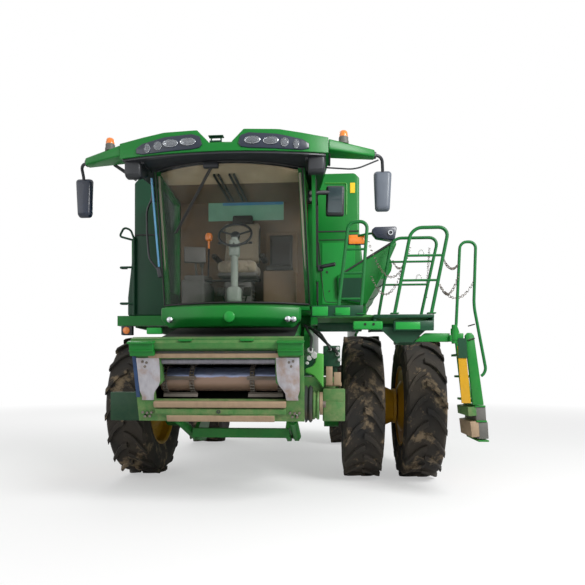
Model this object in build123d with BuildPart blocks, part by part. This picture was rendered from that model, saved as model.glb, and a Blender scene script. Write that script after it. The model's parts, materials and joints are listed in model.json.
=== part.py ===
from build123d import *
import os
from math import atan2, cos, degrees, hypot, pi, radians, sin

# Combine harvester without a header, in mm.
# +X is the machine's left, -Y is ahead, +Z is up.
# Places are measured from the ground under the middle of the front axle;
# the written parts are moved so that the whole machine is centred on its origin.
middle_of_machine = (493.5, 1911, 0)

# wheels and axles
front_tyre_radius = 975
front_tyre_width = 528
front_rim_radius = 533
front_rim_width = 457
inner_wheel_x = 1524
outer_wheel_x = 2286
rear_tyre_radius = 800
rear_tyre_width = 700
rear_rim_radius = 330
rear_rim_width = 610
rear_wheel_x = 1430
wheelbase = 3600
kingpin_x = 980
lug_height = 46
front_lug_count = 18
rear_lug_count = 16
wheel_facets = 20
bar_facets = 8
drum_facets = 16
rim_wall = 14
rim_flange = 26
running_gap = 0.5

# frame and body
rail_x = 600
rail_width = 110
rail_bottom = 1180
rail_height = 180
rail_front = -560
rail_rear = 4700
body_half_width = 840
belly_half_width = 700
body_bottom = rail_bottom + rail_height
body_shoulder = 1660
body_top = 2320
body_front = -500
body_rear = 4300
side_half_width = 1440
fascia_front = -720
fascia_thickness = 50
fascia_half_width = 1465
fascia_flare = 90
fascia_seam = 3240
fascia_top = 3980
fascia_bottom = 2180
ledge_half_width = 1690
ledge_height = 130
tank_wall = 30
tank_rear = 1800
tank_top = 3790
cover_thickness = 40
hood_rear = 3900
hood_top = 3460

# cab
cab_floor_top = 2220
cab_floor_thickness = 60
cab_half_width_low = 855
cab_half_width_top = 800
windshield_low = 2256
windshield_top = 3615
windshield_edge_low = -1383
windshield_edge_top = -1888
windshield_bulge = 245
bow_strips = 8
glass_thickness = 10
cab_rear = -780
cab_side_x = 890
pillar = 70
roof_bottom = 3625
roof_top = 3742
roof_end_top = 3800
roof_half_width = 1077
roof_edge_front = -2205
roof_bulge = 130
roof_rear = -740
roof_rear_half_width = 930

# feeder house
feeder_pivot_y = -800
feeder_pivot_z = 1832
feeder_angle = 16.5
feeder_length = 1600
feeder_half_width = 720
feeder_rear_half_height = 235
feeder_front_half_height = 345
feeder_wall = 12
face_depth = 80
face_half_width = 840
face_half_height = 425

# boarding platform on the left
deck_inner_x = 1560
deck_outer_x = 2200
deck_front = -1800
deck_rear = -930
deck_top = 2060
deck_depth = 100
rail_tube = 38

pieces = {}


def across(x):
    """Plane square to the machine's width, drawn with Y to the right and Z up."""
    return Plane(origin=(x, 0, 0), x_dir=(0, 1, 0), z_dir=(1, 0, 0))


def ahead(y):
    """Plane square to the travel direction, drawn with X to the right and Z up."""
    return Plane(origin=(0, y, 0), x_dir=(1, 0, 0), z_dir=(0, -1, 0))


def block(x, y, z):
    """Box between two corners, given as pairs along each axis."""
    with BuildPart() as body:
        with Locations(((x[0] + x[1]) / 2, (y[0] + y[1]) / 2, (z[0] + z[1]) / 2)):
            Box(abs(x[1] - x[0]), abs(y[1] - y[0]), abs(z[1] - z[0]))
    return body.part


def plate(plane, outline, thickness):
    """Flat plate with a straight-sided outline, drawn on a plane."""
    with BuildPart() as body:
        with BuildSketch(plane):
            Polygon(*outline, align=None)
        extrude(amount=thickness)
    return body.part


def rod(start, end, radius):
    """Straight bar with many flats, from one point to another."""
    axis = Vector(*end) - Vector(*start)
    with BuildPart() as body:
        with BuildSketch(Plane(origin=start, z_dir=axis)):
            RegularPolygon(radius, bar_facets)
        extrude(amount=axis.length)
    return body.part


def tube(points, diameter, bend):
    """Bent round bar with eight flats, its corners cut at a distance from each bend."""
    corners = [Vector(*point) for point in points]
    route = [corners[0]]
    for before, corner, after in zip(corners, corners[1:], corners[2:]):
        for away in (before - corner, after - corner):
            route.append(corner + away.normalized() * bend)
    route.append(corners[-1])
    with BuildPart() as body:
        with BuildLine():
            Polyline(*route)
        with BuildSketch(Plane(origin=route[0], z_dir=route[1] - route[0])):
            RegularPolygon(diameter / 2, 8)
        sweep(transition=Transition.RIGHT)
    return body.part


def placed(solid, x=0, y=0, z=0, turn=(0, 0, 0)):
    """Copy of a part that was made at the origin."""
    return solid.moved(Location((x, y, z), turn))


def mirrored(solid):
    """Copy on the machine's other side."""
    return solid.mirror(Plane.YZ)


def cornered(half_width, half_height, cut):
    """Outline of a rectangle with cut corners."""
    return [
        (side * (half_width - a), up * (half_height - b))
        for side, up, first in ((1, 1, 0), (-1, 1, 1), (-1, -1, 0), (1, -1, 1))
        for a, b in (((0, cut), (cut, 0)) if not first else ((cut, 0), (0, cut)))
    ]


# ---------------------------------------------------------------- wheels

def ring_stack(levels, sides):
    """Many-sided body about the Z axis, through (z, radius) levels."""
    with BuildPart() as body:
        for (low, low_radius), (high, high_radius) in zip(levels, levels[1:]):
            lean = degrees(atan2(abs(low_radius - high_radius) * cos(pi / sides), high - low))
            # each band narrows upward from its wider end, and is turned over where it widens
            with BuildPart(mode=Mode.PRIVATE) as band:
                with BuildSketch():
                    RegularPolygon(max(low_radius, high_radius), sides)
                extrude(amount=high - low, taper=lean)
            if high_radius > low_radius:
                add(placed(band.part.mirror(Plane.XY), 0, 0, high))
            else:
                add(placed(band.part, 0, 0, low))
    return body.part


def lugged_tyre(radius, width, rim_radius, rim_width, lug_count):
    """Tyre about the Z axis, with two staggered rows of slanted lugs."""
    carcass = radius - lug_height
    half = width / 2
    tread = half - 22
    bead = rim_width / 2 - 45
    bulge_radius = (radius + rim_radius) / 2
    lug_width = pi * radius / lug_count * 0.5
    lug_lean = tread * 0.5 + lug_width / 2
    lug_top = (radius**2 - lug_lean**2) ** 0.5
    # levels as (z, radius)
    outside = ring_stack(
        [
            (-half, bulge_radius),
            (-tread, carcass),
            (tread, carcass),
            (half, bulge_radius),
        ],
        wheel_facets,
    )
    slope = (bulge_radius - rim_radius) / (half - bead)
    dish = ring_stack([(bead, rim_radius), (half + 1, bulge_radius + slope)], wheel_facets)
    with BuildPart() as lug:
        with BuildSketch(Plane.YZ.offset(carcass - 45)):
            Polygon(
                (lug_lean, -10),
                (lug_lean - lug_width, -10),
                (-lug_lean, tread - 2),
                (lug_width - lug_lean, tread - 2),
                align=None,
            )
        extrude(amount=lug_top - carcass + 45)
    with BuildPart() as tyre:
        add(outside)
        with PolarLocations(0, lug_count):
            add(lug.part)
        with PolarLocations(0, lug_count, start_angle=180 / lug_count):
            add(lug.part.mirror(Plane.XY))
        add(dish, mode=Mode.SUBTRACT)
        add(dish.mirror(Plane.XY), mode=Mode.SUBTRACT)
        with BuildSketch(Plane.XY.offset(-half)):
            RegularPolygon(rim_radius + 1, wheel_facets, major_radius=False)
        extrude(amount=width, mode=Mode.SUBTRACT)
    return tyre.part


def wheel_rim(radius, width, hub_radius, disc_place, dish):
    """Rim about the Z axis with a dished disc."""
    half = width / 2
    inside = radius - rim_wall
    shoulder = hub_radius + (inside - hub_radius) * 0.45
    # levels as (z, radius)
    outside = ring_stack(
        [
            (-half, radius + rim_flange),
            (30 - half, radius),
            (half - 30, radius),
            (half, radius + rim_flange),
        ],
        wheel_facets,
    )
    bore = ring_stack([(-half - 1, inside), (half + 1, inside)], wheel_facets)
    disc = ring_stack(
        [
            (disc_place, hub_radius + 40),
            (disc_place + dish, shoulder),
            (disc_place + dish + rim_wall, shoulder),
        ],
        wheel_facets,
    )
    hollow = ring_stack(
        [
            (disc_place + rim_wall, hub_radius + 40),
            (disc_place + dish + rim_wall, shoulder),
        ],
        wheel_facets,
    )
    with BuildPart() as rim:
        add(outside)
        add(bore, mode=Mode.SUBTRACT)
        with BuildSketch(Plane.XY.offset(disc_place + dish)):
            RegularPolygon(inside + 1, wheel_facets)
        extrude(amount=rim_wall)
        add(disc)
        add(hollow, mode=Mode.SUBTRACT)
    return rim.part


spin_left = (0, 90, 0)
disc_x = 1335
hub_radius = 180
spacer_radius = 210
spacer_inner_x = 1955
spacer_outer_x = 2016

front_tyre = lugged_tyre(
    front_tyre_radius, front_tyre_width, front_rim_radius, front_rim_width, front_lug_count
)
rear_tyre = lugged_tyre(
    rear_tyre_radius, rear_tyre_width, rear_rim_radius, rear_rim_width, rear_lug_count
)
inner_rim = wheel_rim(
    front_rim_radius, front_rim_width, hub_radius, disc_x - inner_wheel_x, 90
)
outer_rim = wheel_rim(
    front_rim_radius, front_rim_width, spacer_radius, spacer_outer_x - outer_wheel_x, 60
)
rear_disc_x = 1210
rear_rim = wheel_rim(rear_rim_radius, rear_rim_width, 120, rear_disc_x - rear_wheel_x, 60)

with BuildPart() as tyre_front_right:
    add(placed(front_tyre, -inner_wheel_x, 0, front_tyre_radius, spin_left))
pieces["tyre_front_right"] = tyre_front_right

with BuildPart() as tyres_front_left:
    add(placed(front_tyre, inner_wheel_x, 0, front_tyre_radius, spin_left))
    add(placed(front_tyre, outer_wheel_x, 0, front_tyre_radius, spin_left))
pieces["tyres_front_left"] = tyres_front_left

with BuildPart() as rim_front_right:
    add(mirrored(placed(inner_rim, inner_wheel_x, 0, front_tyre_radius, spin_left)))
pieces["rim_front_right"] = rim_front_right

# the twin wheels are held together by a cone and a drum between their discs
cone_start_x = inner_wheel_x + front_rim_width / 2 - 20
cone = [
    (disc_x + rim_wall, 150),
    (cone_start_x, 320),
    (spacer_inner_x, spacer_radius),
    (spacer_outer_x, spacer_radius),
]
cone_outside = ring_stack(cone, wheel_facets)
cone_inside = ring_stack([(x, radius - rim_wall) for x, radius in cone], wheel_facets)
with BuildPart() as rims_front_left:
    add(placed(inner_rim, inner_wheel_x, 0, front_tyre_radius, spin_left))
    add(placed(outer_rim, outer_wheel_x, 0, front_tyre_radius, spin_left))
    add(placed(cone_outside - cone_inside, 0, 0, front_tyre_radius, spin_left))
pieces["rims_front_left"] = rims_front_left


for side, name in ((1, "left"), (-1, "right")):
    with BuildPart() as rear_wheel_rim:
        rim = placed(rear_rim, rear_wheel_x, wheelbase, rear_tyre_radius, spin_left)
        add(rim if side > 0 else mirrored(rim))
    pieces[f"rim_rear_{name}"] = rear_wheel_rim
    with BuildPart() as rear_wheel_tyre:
        add(placed(rear_tyre, side * rear_wheel_x, wheelbase, rear_tyre_radius, spin_left))
    pieces[f"tyre_rear_{name}"] = rear_wheel_tyre

# ---------------------------------------------------------------- axles and frame

axle_half_width = 1010
axle_depth = 340
axle_top = rail_bottom
axle_bottom = 960
drive_x = (axle_half_width, 1210)
cylinder_x = 665
arm_reach = (120, 70)
cylinder_foot_y = -620
cylinder_foot_z = 600
cross_beam_y = (-1090, -980)
cross_beam_z = (640, 750)
pin_radius = 22

flange_length = disc_x - running_gap - drive_x[1]
output_flange = ring_stack([(0, hub_radius), (flange_length, hub_radius - 25)], drum_facets)
with BuildPart() as front_axle:
    add(block((-axle_half_width, axle_half_width), (-axle_depth / 2, axle_depth / 2),
        (axle_bottom, axle_top)))
    # final drives with their output flanges
    for side in (1, -1):
        with BuildSketch(across(side * drive_x[0])):
            with Locations((0, front_tyre_radius + 40)):
                SlotCenterToCenter(150, 520, rotation=90)
        extrude(amount=side * (drive_x[1] - drive_x[0]))
        add(placed(output_flange, side * drive_x[1], 0, front_tyre_radius, (0, 90 * side, 0)))
    # forward arms carry the cross beam and the feet of the lift cylinders
    for side in (1, -1):
        arm_x = (side * (cylinder_x - arm_reach[0]), side * (cylinder_x - arm_reach[1]))
        arm = [
            (-axle_depth / 2, axle_top - 10),
            (cross_beam_y[1], cross_beam_z[1]),
            (cross_beam_y[1], cross_beam_z[0]),
            (cylinder_foot_y - 60, cylinder_foot_z - 50),
            (cylinder_foot_y + 80, cylinder_foot_z - 50),
            (-axle_depth / 2, axle_bottom),
        ]
        add(plate(across(arm_x[0]), arm, arm_x[1] - arm_x[0]))
    add(block((arm_reach[1] - cylinder_x, cylinder_x - arm_reach[1]), cross_beam_y, cross_beam_z))
pieces["front_axle"] = front_axle

# pins in the arms' feet, which the lift cylinders swing on
with BuildPart() as lift_pins:
    for side in (1, -1):
        add(rod((side * (cylinder_x - arm_reach[1]), cylinder_foot_y, cylinder_foot_z),
            (side * (cylinder_x + 45), cylinder_foot_y, cylinder_foot_z), pin_radius))
pieces["lift_pins"] = lift_pins

with BuildPart() as main_frame:
    for side in (1, -1):
        with Locations((side * rail_x, (rail_front + rail_rear) / 2, rail_bottom + rail_height / 2)):
            Box(rail_width, rail_rear - rail_front, rail_height)
    # cross members as (y, length)
    for y, length in ((-430, 140), (wheelbase, 260), (4600, 120)):
        add(block((-rail_x + rail_width / 2, rail_x - rail_width / 2),
            (y - length / 2, y + length / 2), (rail_bottom + 20, body_bottom - 20)))
    # stands for the rear axle's pivot
    for y in (wheelbase - 190, wheelbase + 150):
        add(plate(ahead(y), [(-300, rail_bottom + 30), (300, rail_bottom + 30),
            (140, 720), (-140, 720)], -40))
pieces["main_frame"] = main_frame

rear_axle_half_width = 860
rear_axle_depth = 160
with BuildPart() as rear_axle:
    with BuildSketch(ahead(wheelbase - rear_axle_depth / 2)):
        Polygon(
            (-rear_axle_half_width, 700),
            (rear_axle_half_width, 700),
            (rear_axle_half_width, 900),
            (300, 960),
            (-300, 960),
            (-rear_axle_half_width, 900),
            align=None,
        )
    extrude(amount=-rear_axle_depth)
    # forks for the kingpins
    for side in (1, -1):
        for z in (660, 890):
            add(block((side * (rear_axle_half_width - 60), side * (kingpin_x + 60)),
                (wheelbase - 75, wheelbase + 75), (z, z + 50)))
    with BuildSketch(ahead(wheelbase - 150)):
        with Locations((0, 820)):
            RegularPolygon(80, bar_facets)
    extrude(amount=-300)
pieces["rear_axle"] = rear_axle

# steering knuckles: kingpin barrel, spindle and track arm
track_arm_y = wheelbase + 330
track_pin_x = kingpin_x - 60
knuckle_z = (711, 889)
with BuildPart() as knuckle_left:
    with BuildSketch(Plane(origin=(kingpin_x, wheelbase, knuckle_z[0]), z_dir=(0, 0, 1))):
        RegularPolygon(58, bar_facets)
    extrude(amount=knuckle_z[1] - knuckle_z[0])
    with BuildSketch(across(kingpin_x)):
        with Locations((wheelbase, rear_tyre_radius)):
            RegularPolygon(70, bar_facets)
    extrude(amount=rear_disc_x - 20 - kingpin_x)
    with BuildSketch(across(rear_disc_x - running_gap - 30)):
        with Locations((wheelbase, rear_tyre_radius)):
            RegularPolygon(120, drum_facets)
    extrude(amount=30)
    add(plate(Plane.XY.offset(knuckle_z[0]), [(kingpin_x - 45, wheelbase),
        (kingpin_x + 45, wheelbase), (track_pin_x + 35, track_arm_y + 35),
        (track_pin_x - 35, track_arm_y + 35)], 36))
pieces["knuckle_left"] = knuckle_left
with BuildPart() as knuckle_right:
    add(mirrored(knuckle_left.part))
pieces["knuckle_right"] = knuckle_right

with BuildPart() as tie_rod:
    add(rod((-track_pin_x, track_arm_y, knuckle_z[0] + 62),
        (track_pin_x, track_arm_y, knuckle_z[0] + 62), 18))
    for side in (1, -1):
        with BuildSketch(Plane.XY.offset(knuckle_z[0] + 40)):
            with Locations((side * track_pin_x, track_arm_y)):
                RegularPolygon(32, bar_facets)
        extrude(amount=44)
pieces["tie_rod"] = tie_rod

# ---------------------------------------------------------------- body

cheek_x = (768, body_half_width)
pivot_radius = 55
with BuildPart() as separator_body:
    # T-shaped section along the machine: wide above the shoulder, narrow below
    with BuildSketch(ahead(body_front)):
        Polygon(
            (-belly_half_width, body_bottom),
            (belly_half_width, body_bottom),
            (belly_half_width, body_shoulder),
            (body_half_width, body_shoulder),
            (body_half_width, body_top),
            (-body_half_width, body_top),
            (-body_half_width, body_shoulder),
            (-belly_half_width, body_shoulder),
            align=None,
        )
    extrude(amount=body_front - body_rear)
    # cheeks that hold the feeder house
    for side in (1, -1):
        cheek = [
            (body_front, body_shoulder),
            (feeder_pivot_y - 90, feeder_pivot_z - 110),
            (feeder_pivot_y - 130, feeder_pivot_z),
            (feeder_pivot_y - 90, feeder_pivot_z + 120),
            (body_front, feeder_pivot_z + 240),
        ]
        add(plate(across(side * cheek_x[0]), cheek, side * (cheek_x[1] - cheek_x[0])))
    with BuildSketch(across(-body_half_width - 1)):
        with Locations((feeder_pivot_y, feeder_pivot_z)):
            Circle(pivot_radius + 1)
    extrude(amount=2 * body_half_width + 2, mode=Mode.SUBTRACT)
    # cleaning shoe between the rails
    with BuildSketch(across(-rail_x + rail_width / 2 + 10)):
        Polygon(
            (280, body_bottom),
            (280, 1120),
            (620, 900),
            (2450, 900),
            (3130, 1120),
            (3130, body_bottom),
            align=None,
        )
    extrude(amount=2 * rail_x - rail_width - 20)
pieces["separator_body"] = separator_body

with BuildPart() as grain_tank:
    outer = [
        (-body_half_width, body_top),
        (body_half_width, body_top),
        (side_half_width - 20, 2950),
        (side_half_width - 20, tank_top),
        (20 - side_half_width, tank_top),
        (20 - side_half_width, 2950),
    ]
    with BuildSketch(ahead(fascia_front + fascia_thickness)):
        Polygon(*outer, align=None)
    extrude(amount=fascia_front + fascia_thickness - tank_rear)
    with BuildSketch(ahead(fascia_front + fascia_thickness + tank_wall)):
        Polygon(
            (-body_half_width + 60, body_top + 40),
            (body_half_width - 60, body_top + 40),
            (side_half_width - 20 - tank_wall, 2965),
            (side_half_width - 20 - tank_wall, tank_top + 1),
            (20 + tank_wall - side_half_width, tank_top + 1),
            (20 + tank_wall - side_half_width, 2965),
            align=None,
        )
    extrude(amount=fascia_front + fascia_thickness - tank_rear + 2 * tank_wall, mode=Mode.SUBTRACT)
pieces["grain_tank"] = grain_tank

# tank covers lie flat and meet along the middle; their hinges run along the tank's top edges
cover_edge_x = side_half_width - 20
cover_y = (fascia_front + fascia_thickness + 10, tank_rear - 10)
cover_z = tank_top + 12
with BuildPart() as tank_cover_left:
    with BuildSketch(ahead(cover_y[0])):
        Polygon(
            (4, cover_z + 80),
            (cover_edge_x - 60, cover_z),
            (cover_edge_x, cover_z),
            (cover_edge_x, cover_z + cover_thickness),
            (cover_edge_x - 60, cover_z + cover_thickness),
            (4, cover_z + 80 + cover_thickness),
            align=None,
        )
    extrude(amount=cover_y[0] - cover_y[1])
pieces["tank_cover_left"] = tank_cover_left
with BuildPart() as tank_cover_right:
    add(mirrored(tank_cover_left.part))
pieces["tank_cover_right"] = tank_cover_right

# front panels beside the cab: a tall upper panel and a lower one that flares out
with BuildPart() as fascia:
    for side in (1, -1):
        with BuildSketch(ahead(fascia_front)):
            Polygon(
                (side * (body_half_width + 40), fascia_bottom),
                (side * (fascia_half_width + fascia_flare), fascia_bottom),
                (side * (fascia_half_width + fascia_flare), 2420),
                (side * fascia_half_width, fascia_seam),
                (side * fascia_half_width, fascia_top - 60),
                (side * (fascia_half_width - 60), fascia_top),
                (side * (body_half_width - 40), fascia_top),
                (side * (body_half_width - 40), 2420),
                (side * (body_half_width + 40), 2420),
                align=None,
            )
        extrude(amount=-fascia_thickness)
    # middle panel behind the cab
    add(block((40 - body_half_width, body_half_width - 40),
        (fascia_front, fascia_front + fascia_thickness), (2420, fascia_top - 160)))
pieces["fascia"] = fascia

# ledge below the front panels
with BuildPart() as front_ledge:
    add(block((-ledge_half_width, -body_half_width - 10), (fascia_front, fascia_front + 120),
        (fascia_bottom - ledge_height, fascia_bottom)))
    add(block((body_half_width + 10, deck_inner_x - 2), (fascia_front, fascia_front + 120),
        (fascia_bottom - ledge_height, fascia_bottom)))
pieces["front_ledge"] = front_ledge

# side shields hang from hinges along their top edges
shield_x = (side_half_width + 40, side_half_width + 80)
shield_rear = 4560
arch_top = 2040
step_low = 1300
right_shield_top = 3180
left_shield_top = 2730
left_shield_front = 520
with BuildPart() as side_shield_right:
    with BuildSketch(across(-shield_x[1])):
        with BuildLine():
            Polyline(
                (1180, step_low),
                (1080, 1700),
                (980, arch_top),
                (fascia_front + 200, arch_top),
                (fascia_front + 200, fascia_bottom + 20),
                (fascia_front + fascia_thickness + 10, fascia_bottom + 20),
                (fascia_front + fascia_thickness + 10, right_shield_top),
                (3900, right_shield_top),
                (shield_rear, right_shield_top - 420),
                (shield_rear, 1760),
                (2900, 1760),
                (2620, step_low),
                close=True,
            )
        make_face()
    extrude(amount=shield_x[1] - shield_x[0])
pieces["side_shield_right"] = side_shield_right
with BuildPart() as side_shield_left:
    with BuildSketch(across(shield_x[0])):
        with BuildLine():
            Polyline(
                (1180, step_low),
                (1080, 1700),
                (980, arch_top),
                (left_shield_front, arch_top),
                (left_shield_front, left_shield_top),
                (shield_rear, left_shield_top),
                (shield_rear, 1760),
                (2900, 1760),
                (2620, step_low),
                close=True,
            )
        make_face()
    extrude(amount=shield_x[1] - shield_x[0])
pieces["side_shield_left"] = side_shield_left

# engine bay behind the tank
hood_x = side_half_width - 40
hood_wall = 30
hood_slope_start = 3500
louvre_length = 1100
louvre_height = 40
louvre_pitch = 80
louvre_low = 2640
with BuildPart() as engine_hood:
    with BuildSketch(across(-hood_x)):
        Polygon(
            (tank_rear + 10, body_top),
            (tank_rear + 10, hood_top),
            (hood_slope_start, hood_top),
            (hood_rear, hood_top - 260),
            (hood_rear, body_top),
            align=None,
        )
    extrude(amount=2 * hood_x)
    with BuildSketch(across(-hood_x + hood_wall)):
        Polygon(
            (tank_rear + 10 + hood_wall, body_top - 1),
            (tank_rear + 10 + hood_wall, hood_top - hood_wall),
            (hood_slope_start, hood_top - hood_wall),
            (hood_rear - hood_wall, hood_top - 280),
            (hood_rear - hood_wall, body_top - 1),
            align=None,
        )
    extrude(amount=2 * (hood_x - hood_wall), mode=Mode.SUBTRACT)
    # louvres of the cooling air screen on the right
    with BuildSketch(across(-hood_x - 1)):
        for row in range(9):
            with Locations((2900, louvre_low + louvre_pitch * row)):
                Rectangle(louvre_length, louvre_height)
    extrude(amount=hood_wall + 2, mode=Mode.SUBTRACT)
    # outlet grille at the back
    with BuildSketch(ahead(hood_rear + 1)):
        for row in range(6):
            with Locations((0, 2480 + 90 * row)):
                Rectangle(1500, 45)
    extrude(amount=hood_wall + 4, mode=Mode.SUBTRACT)
pieces["engine_hood"] = engine_hood

with BuildPart() as engine_block:
    add(block((-500, 700), (2300, 3250), (body_top + 1, 3250)))
    chamfer(engine_block.edges().filter_by(Axis.X), 90)
pieces["engine_block"] = engine_block

with BuildPart() as exhaust_stack:
    exhaust = (900, 2300)
    with BuildSketch(Plane.XY.offset(hood_top + 1)):
        with Locations(exhaust):
            RegularPolygon(85, drum_facets)
    extrude(amount=280)
    with BuildSketch(Plane.XY.offset(hood_top + 240)):
        with Locations(exhaust):
            RegularPolygon(70, drum_facets)
    extrude(amount=60, mode=Mode.SUBTRACT)
pieces["exhaust_stack"] = exhaust_stack

# straw hood and chopper at the back
straw_half_width = 800
with BuildPart() as rear_hood:
    with BuildSketch(across(-straw_half_width)):
        Polygon(
            (hood_rear + 10, body_top + 1),
            (hood_rear + 10, 3020),
            (4700, 2930),
            (5480, 2560),
            (5720, 1900),
            (5600, 1720),
            (body_rear + 10, 1720),
            (body_rear + 10, body_top + 1),
            align=None,
        )
    extrude(amount=2 * straw_half_width)
    fillet(rear_hood.edges().filter_by(Axis.X).sort_by(Axis.Y)[-3:], 60)
pieces["rear_hood"] = rear_hood

with BuildPart() as straw_chopper:
    with BuildSketch(across(-straw_half_width + 20)):
        with Locations((5180, 1420)):
            RegularPolygon(290, drum_facets)
        Polygon(
            (4900, 1718),
            (5600, 1718),
            (5640, 1400),
            (5180, 1135),
            (4890, 1400),
            align=None,
        )
    extrude(amount=2 * straw_half_width - 40)
    # tailboard with curved steering vanes below it
    with BuildSketch(across(-straw_half_width - 60)):
        Polygon(
            (5640, 1420),
            (6240, 1180),
            (6240, 1150),
            (5620, 1380),
            align=None,
        )
    extrude(amount=2 * straw_half_width + 120)
    for vane in range(8):
        vane_x = (vane - 3.5) * 200
        add(plate(across(vane_x - 4), [(5600, 1400), (6200, 1160), (6140, 1040), (5560, 1240)], 8))
pieces["straw_chopper"] = straw_chopper

# ---------------------------------------------------------------- cab

def bowed_edge(half_width, edge_y, bulge):
    """Points from side to side along an edge that is bowed forward in the middle."""
    arc = ThreePointArc((-half_width, edge_y), (0, edge_y - bulge), (half_width, edge_y))
    places = [arc @ (step / bow_strips) for step in range(bow_strips + 1)]
    return [(place.X, place.Y) for place in places]


lean = (windshield_edge_top - windshield_edge_low) / (windshield_top - windshield_low)
taper = (cab_half_width_top - cab_half_width_low) / (windshield_top - windshield_low)


def edge_y(z):
    """How far ahead the windshield's side edges are at a height."""
    return windshield_edge_low + lean * (z - windshield_low)


def edge_x(z):
    """Half the windshield's width at a height."""
    return cab_half_width_low + taper * (z - windshield_low)


glass_bottom = cab_floor_top + 4
glass_top = roof_bottom - 4
glass_rise = Vector(0, lean * (glass_top - glass_bottom), glass_top - glass_bottom)
outer_edge = bowed_edge(edge_x(glass_bottom), edge_y(glass_bottom), windshield_bulge)
inner_edge = [(x, y + glass_thickness) for x, y in reversed(outer_edge)]
with BuildPart() as windshield:
    with BuildSketch(Plane.XY.offset(glass_bottom)):
        Polygon(*outer_edge, *inner_edge, align=None)
    extrude(amount=glass_rise.length, dir=glass_rise)
    # the sides draw in towards the roof
    for side in (1, -1):
        with BuildSketch(ahead(cab_rear)):
            Polygon(
                (side * edge_x(glass_bottom), glass_bottom),
                (side * cab_side_x * 2, glass_bottom),
                (side * cab_side_x * 2, glass_top),
                (side * edge_x(glass_top), glass_top),
                align=None,
            )
        extrude(amount=cab_side_x * 3, mode=Mode.SUBTRACT)
pieces["windshield"] = windshield

pillar_gap = 8
floor_bottom = cab_floor_top - cab_floor_thickness


def slanted_post(side):
    """Front pillar that follows the windshield's edge."""
    with BuildPart() as post:
        for z in (cab_floor_top, roof_bottom):
            with BuildSketch(Plane.XY.offset(z)):
                with Locations((side * (edge_x(z) - pillar / 2 + 20),
                        edge_y(z) + glass_thickness + pillar_gap + pillar / 2)):
                    Rectangle(pillar, pillar)
        loft(ruled=True)
    return post.part


front_posts = [slanted_post(1), slanted_post(-1)]
rear_post_y = (cab_rear - pillar, cab_rear)
cab_wall_top = 2760
with BuildPart() as cab_frame:
    # floor with a bowed front edge
    with BuildSketch(Plane.XY.offset(floor_bottom)):
        Polygon(
            *bowed_edge(cab_half_width_low, edge_y(floor_bottom) - 6, windshield_bulge),
            (cab_side_x, cab_rear),
            (-cab_side_x, cab_rear),
            align=None,
        )
    extrude(amount=cab_floor_thickness)
    for post in front_posts:
        add(post)
    for side in (1, -1):
        add(block((side * (cab_side_x - pillar), side * cab_side_x), rear_post_y,
            (cab_floor_top, roof_bottom)))
        # roof rails from the rear posts to the front pillars
        add(plate(Plane.XY.offset(roof_bottom - 60), [
            (side * (cab_side_x - pillar), rear_post_y[1]),
            (side * cab_side_x, rear_post_y[1]),
            (side * (edge_x(roof_bottom) + 20), edge_y(roof_bottom) + 40),
            (side * (edge_x(roof_bottom) - 50), edge_y(roof_bottom) + 40),
        ], 60))
    # rear wall below the window and header above it
    add(block((pillar - cab_side_x, cab_side_x - pillar), (cab_rear - 40, cab_rear),
        (cab_floor_top, cab_wall_top)))
    add(block((pillar - cab_side_x, cab_side_x - pillar), (cab_rear - 40, cab_rear),
        (roof_bottom - 90, roof_bottom)))
    # sill on the right side
    add(plate(across(-cab_side_x + 10), [
        (rear_post_y[0], cab_floor_top), (edge_y(cab_floor_top) + 100, cab_floor_top),
        (edge_y(2420) + 100, 2420), (rear_post_y[0], 2420)], 40))
pieces["cab_frame"] = cab_frame

# side window on the right and window at the back
with BuildPart() as cab_windows:
    add(plate(across(-cab_side_x + 20), [
        (rear_post_y[0] - 4, 2424),
        (edge_y(2424) + 100, 2424),
        (edge_y(roof_bottom - 64) + 100, roof_bottom - 64),
        (rear_post_y[0] - 4, roof_bottom - 64)], glass_thickness))
    add(block((pillar + 4 - cab_side_x, cab_side_x - pillar - 4), (cab_rear - 26, cab_rear - 16),
        (cab_wall_top + 4, roof_bottom - 94)))
pieces["cab_windows"] = cab_windows

# door on the left, hinged on its rear edge
door_x = (cab_side_x + 4, cab_side_x + 44)
door_bottom = cab_floor_top - 20
door_top = roof_bottom - 12
door_rear = cab_rear + 6
door_hinge = (door_x[1], door_rear)
hinge_radius = 14
door_border = 70


def door_outline(inset):
    """Side view of the door, as (y, z) corners, front edge along the windshield's lean."""
    low = door_bottom + inset
    high = door_top - inset
    return [
        (door_rear - inset, low),
        (edge_y(low) + 30 + inset, low),
        (edge_y(high) + 30 + inset, high),
        (door_rear - inset, high),
    ]


door_window = door_outline(door_border)
with BuildPart() as cab_door:
    with BuildSketch(across(door_x[0])):
        Polygon(*door_outline(0), align=None)
        Polygon(*door_window, align=None, mode=Mode.SUBTRACT)
    extrude(amount=door_x[1] - door_x[0])
    # handle on the front stile
    add(block((door_x[1], door_x[1] + 40), (edge_y(2560) + 50, edge_y(2560) + 80), (2480, 2640)))
    # hinge barrels at the rear edge
    for z in (door_bottom + 200, door_top - 320):
        with BuildSketch(Plane.XY.offset(z)):
            with Locations(door_hinge):
                Circle(hinge_radius)
        extrude(amount=120)
pieces["cab_door"] = cab_door
with BuildPart() as door_glass:
    with BuildSketch(across(door_x[0] + 14)):
        Polygon(*door_window, align=None)
    extrude(amount=glass_thickness)
pieces["door_glass"] = door_glass

pod_inner_x = 120
pod_top = 3860
pod_rear = -1250
duct_x = (860, 1045)
duct_y = (-2175, -1905)
duct_bottom = 3465
roof_plan = [
    *bowed_edge(roof_half_width, roof_edge_front, roof_bulge),
    (roof_half_width, -1930),
    (roof_rear_half_width, roof_rear),
    (-roof_rear_half_width, roof_rear),
    (-roof_half_width, -1930),
]
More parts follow.
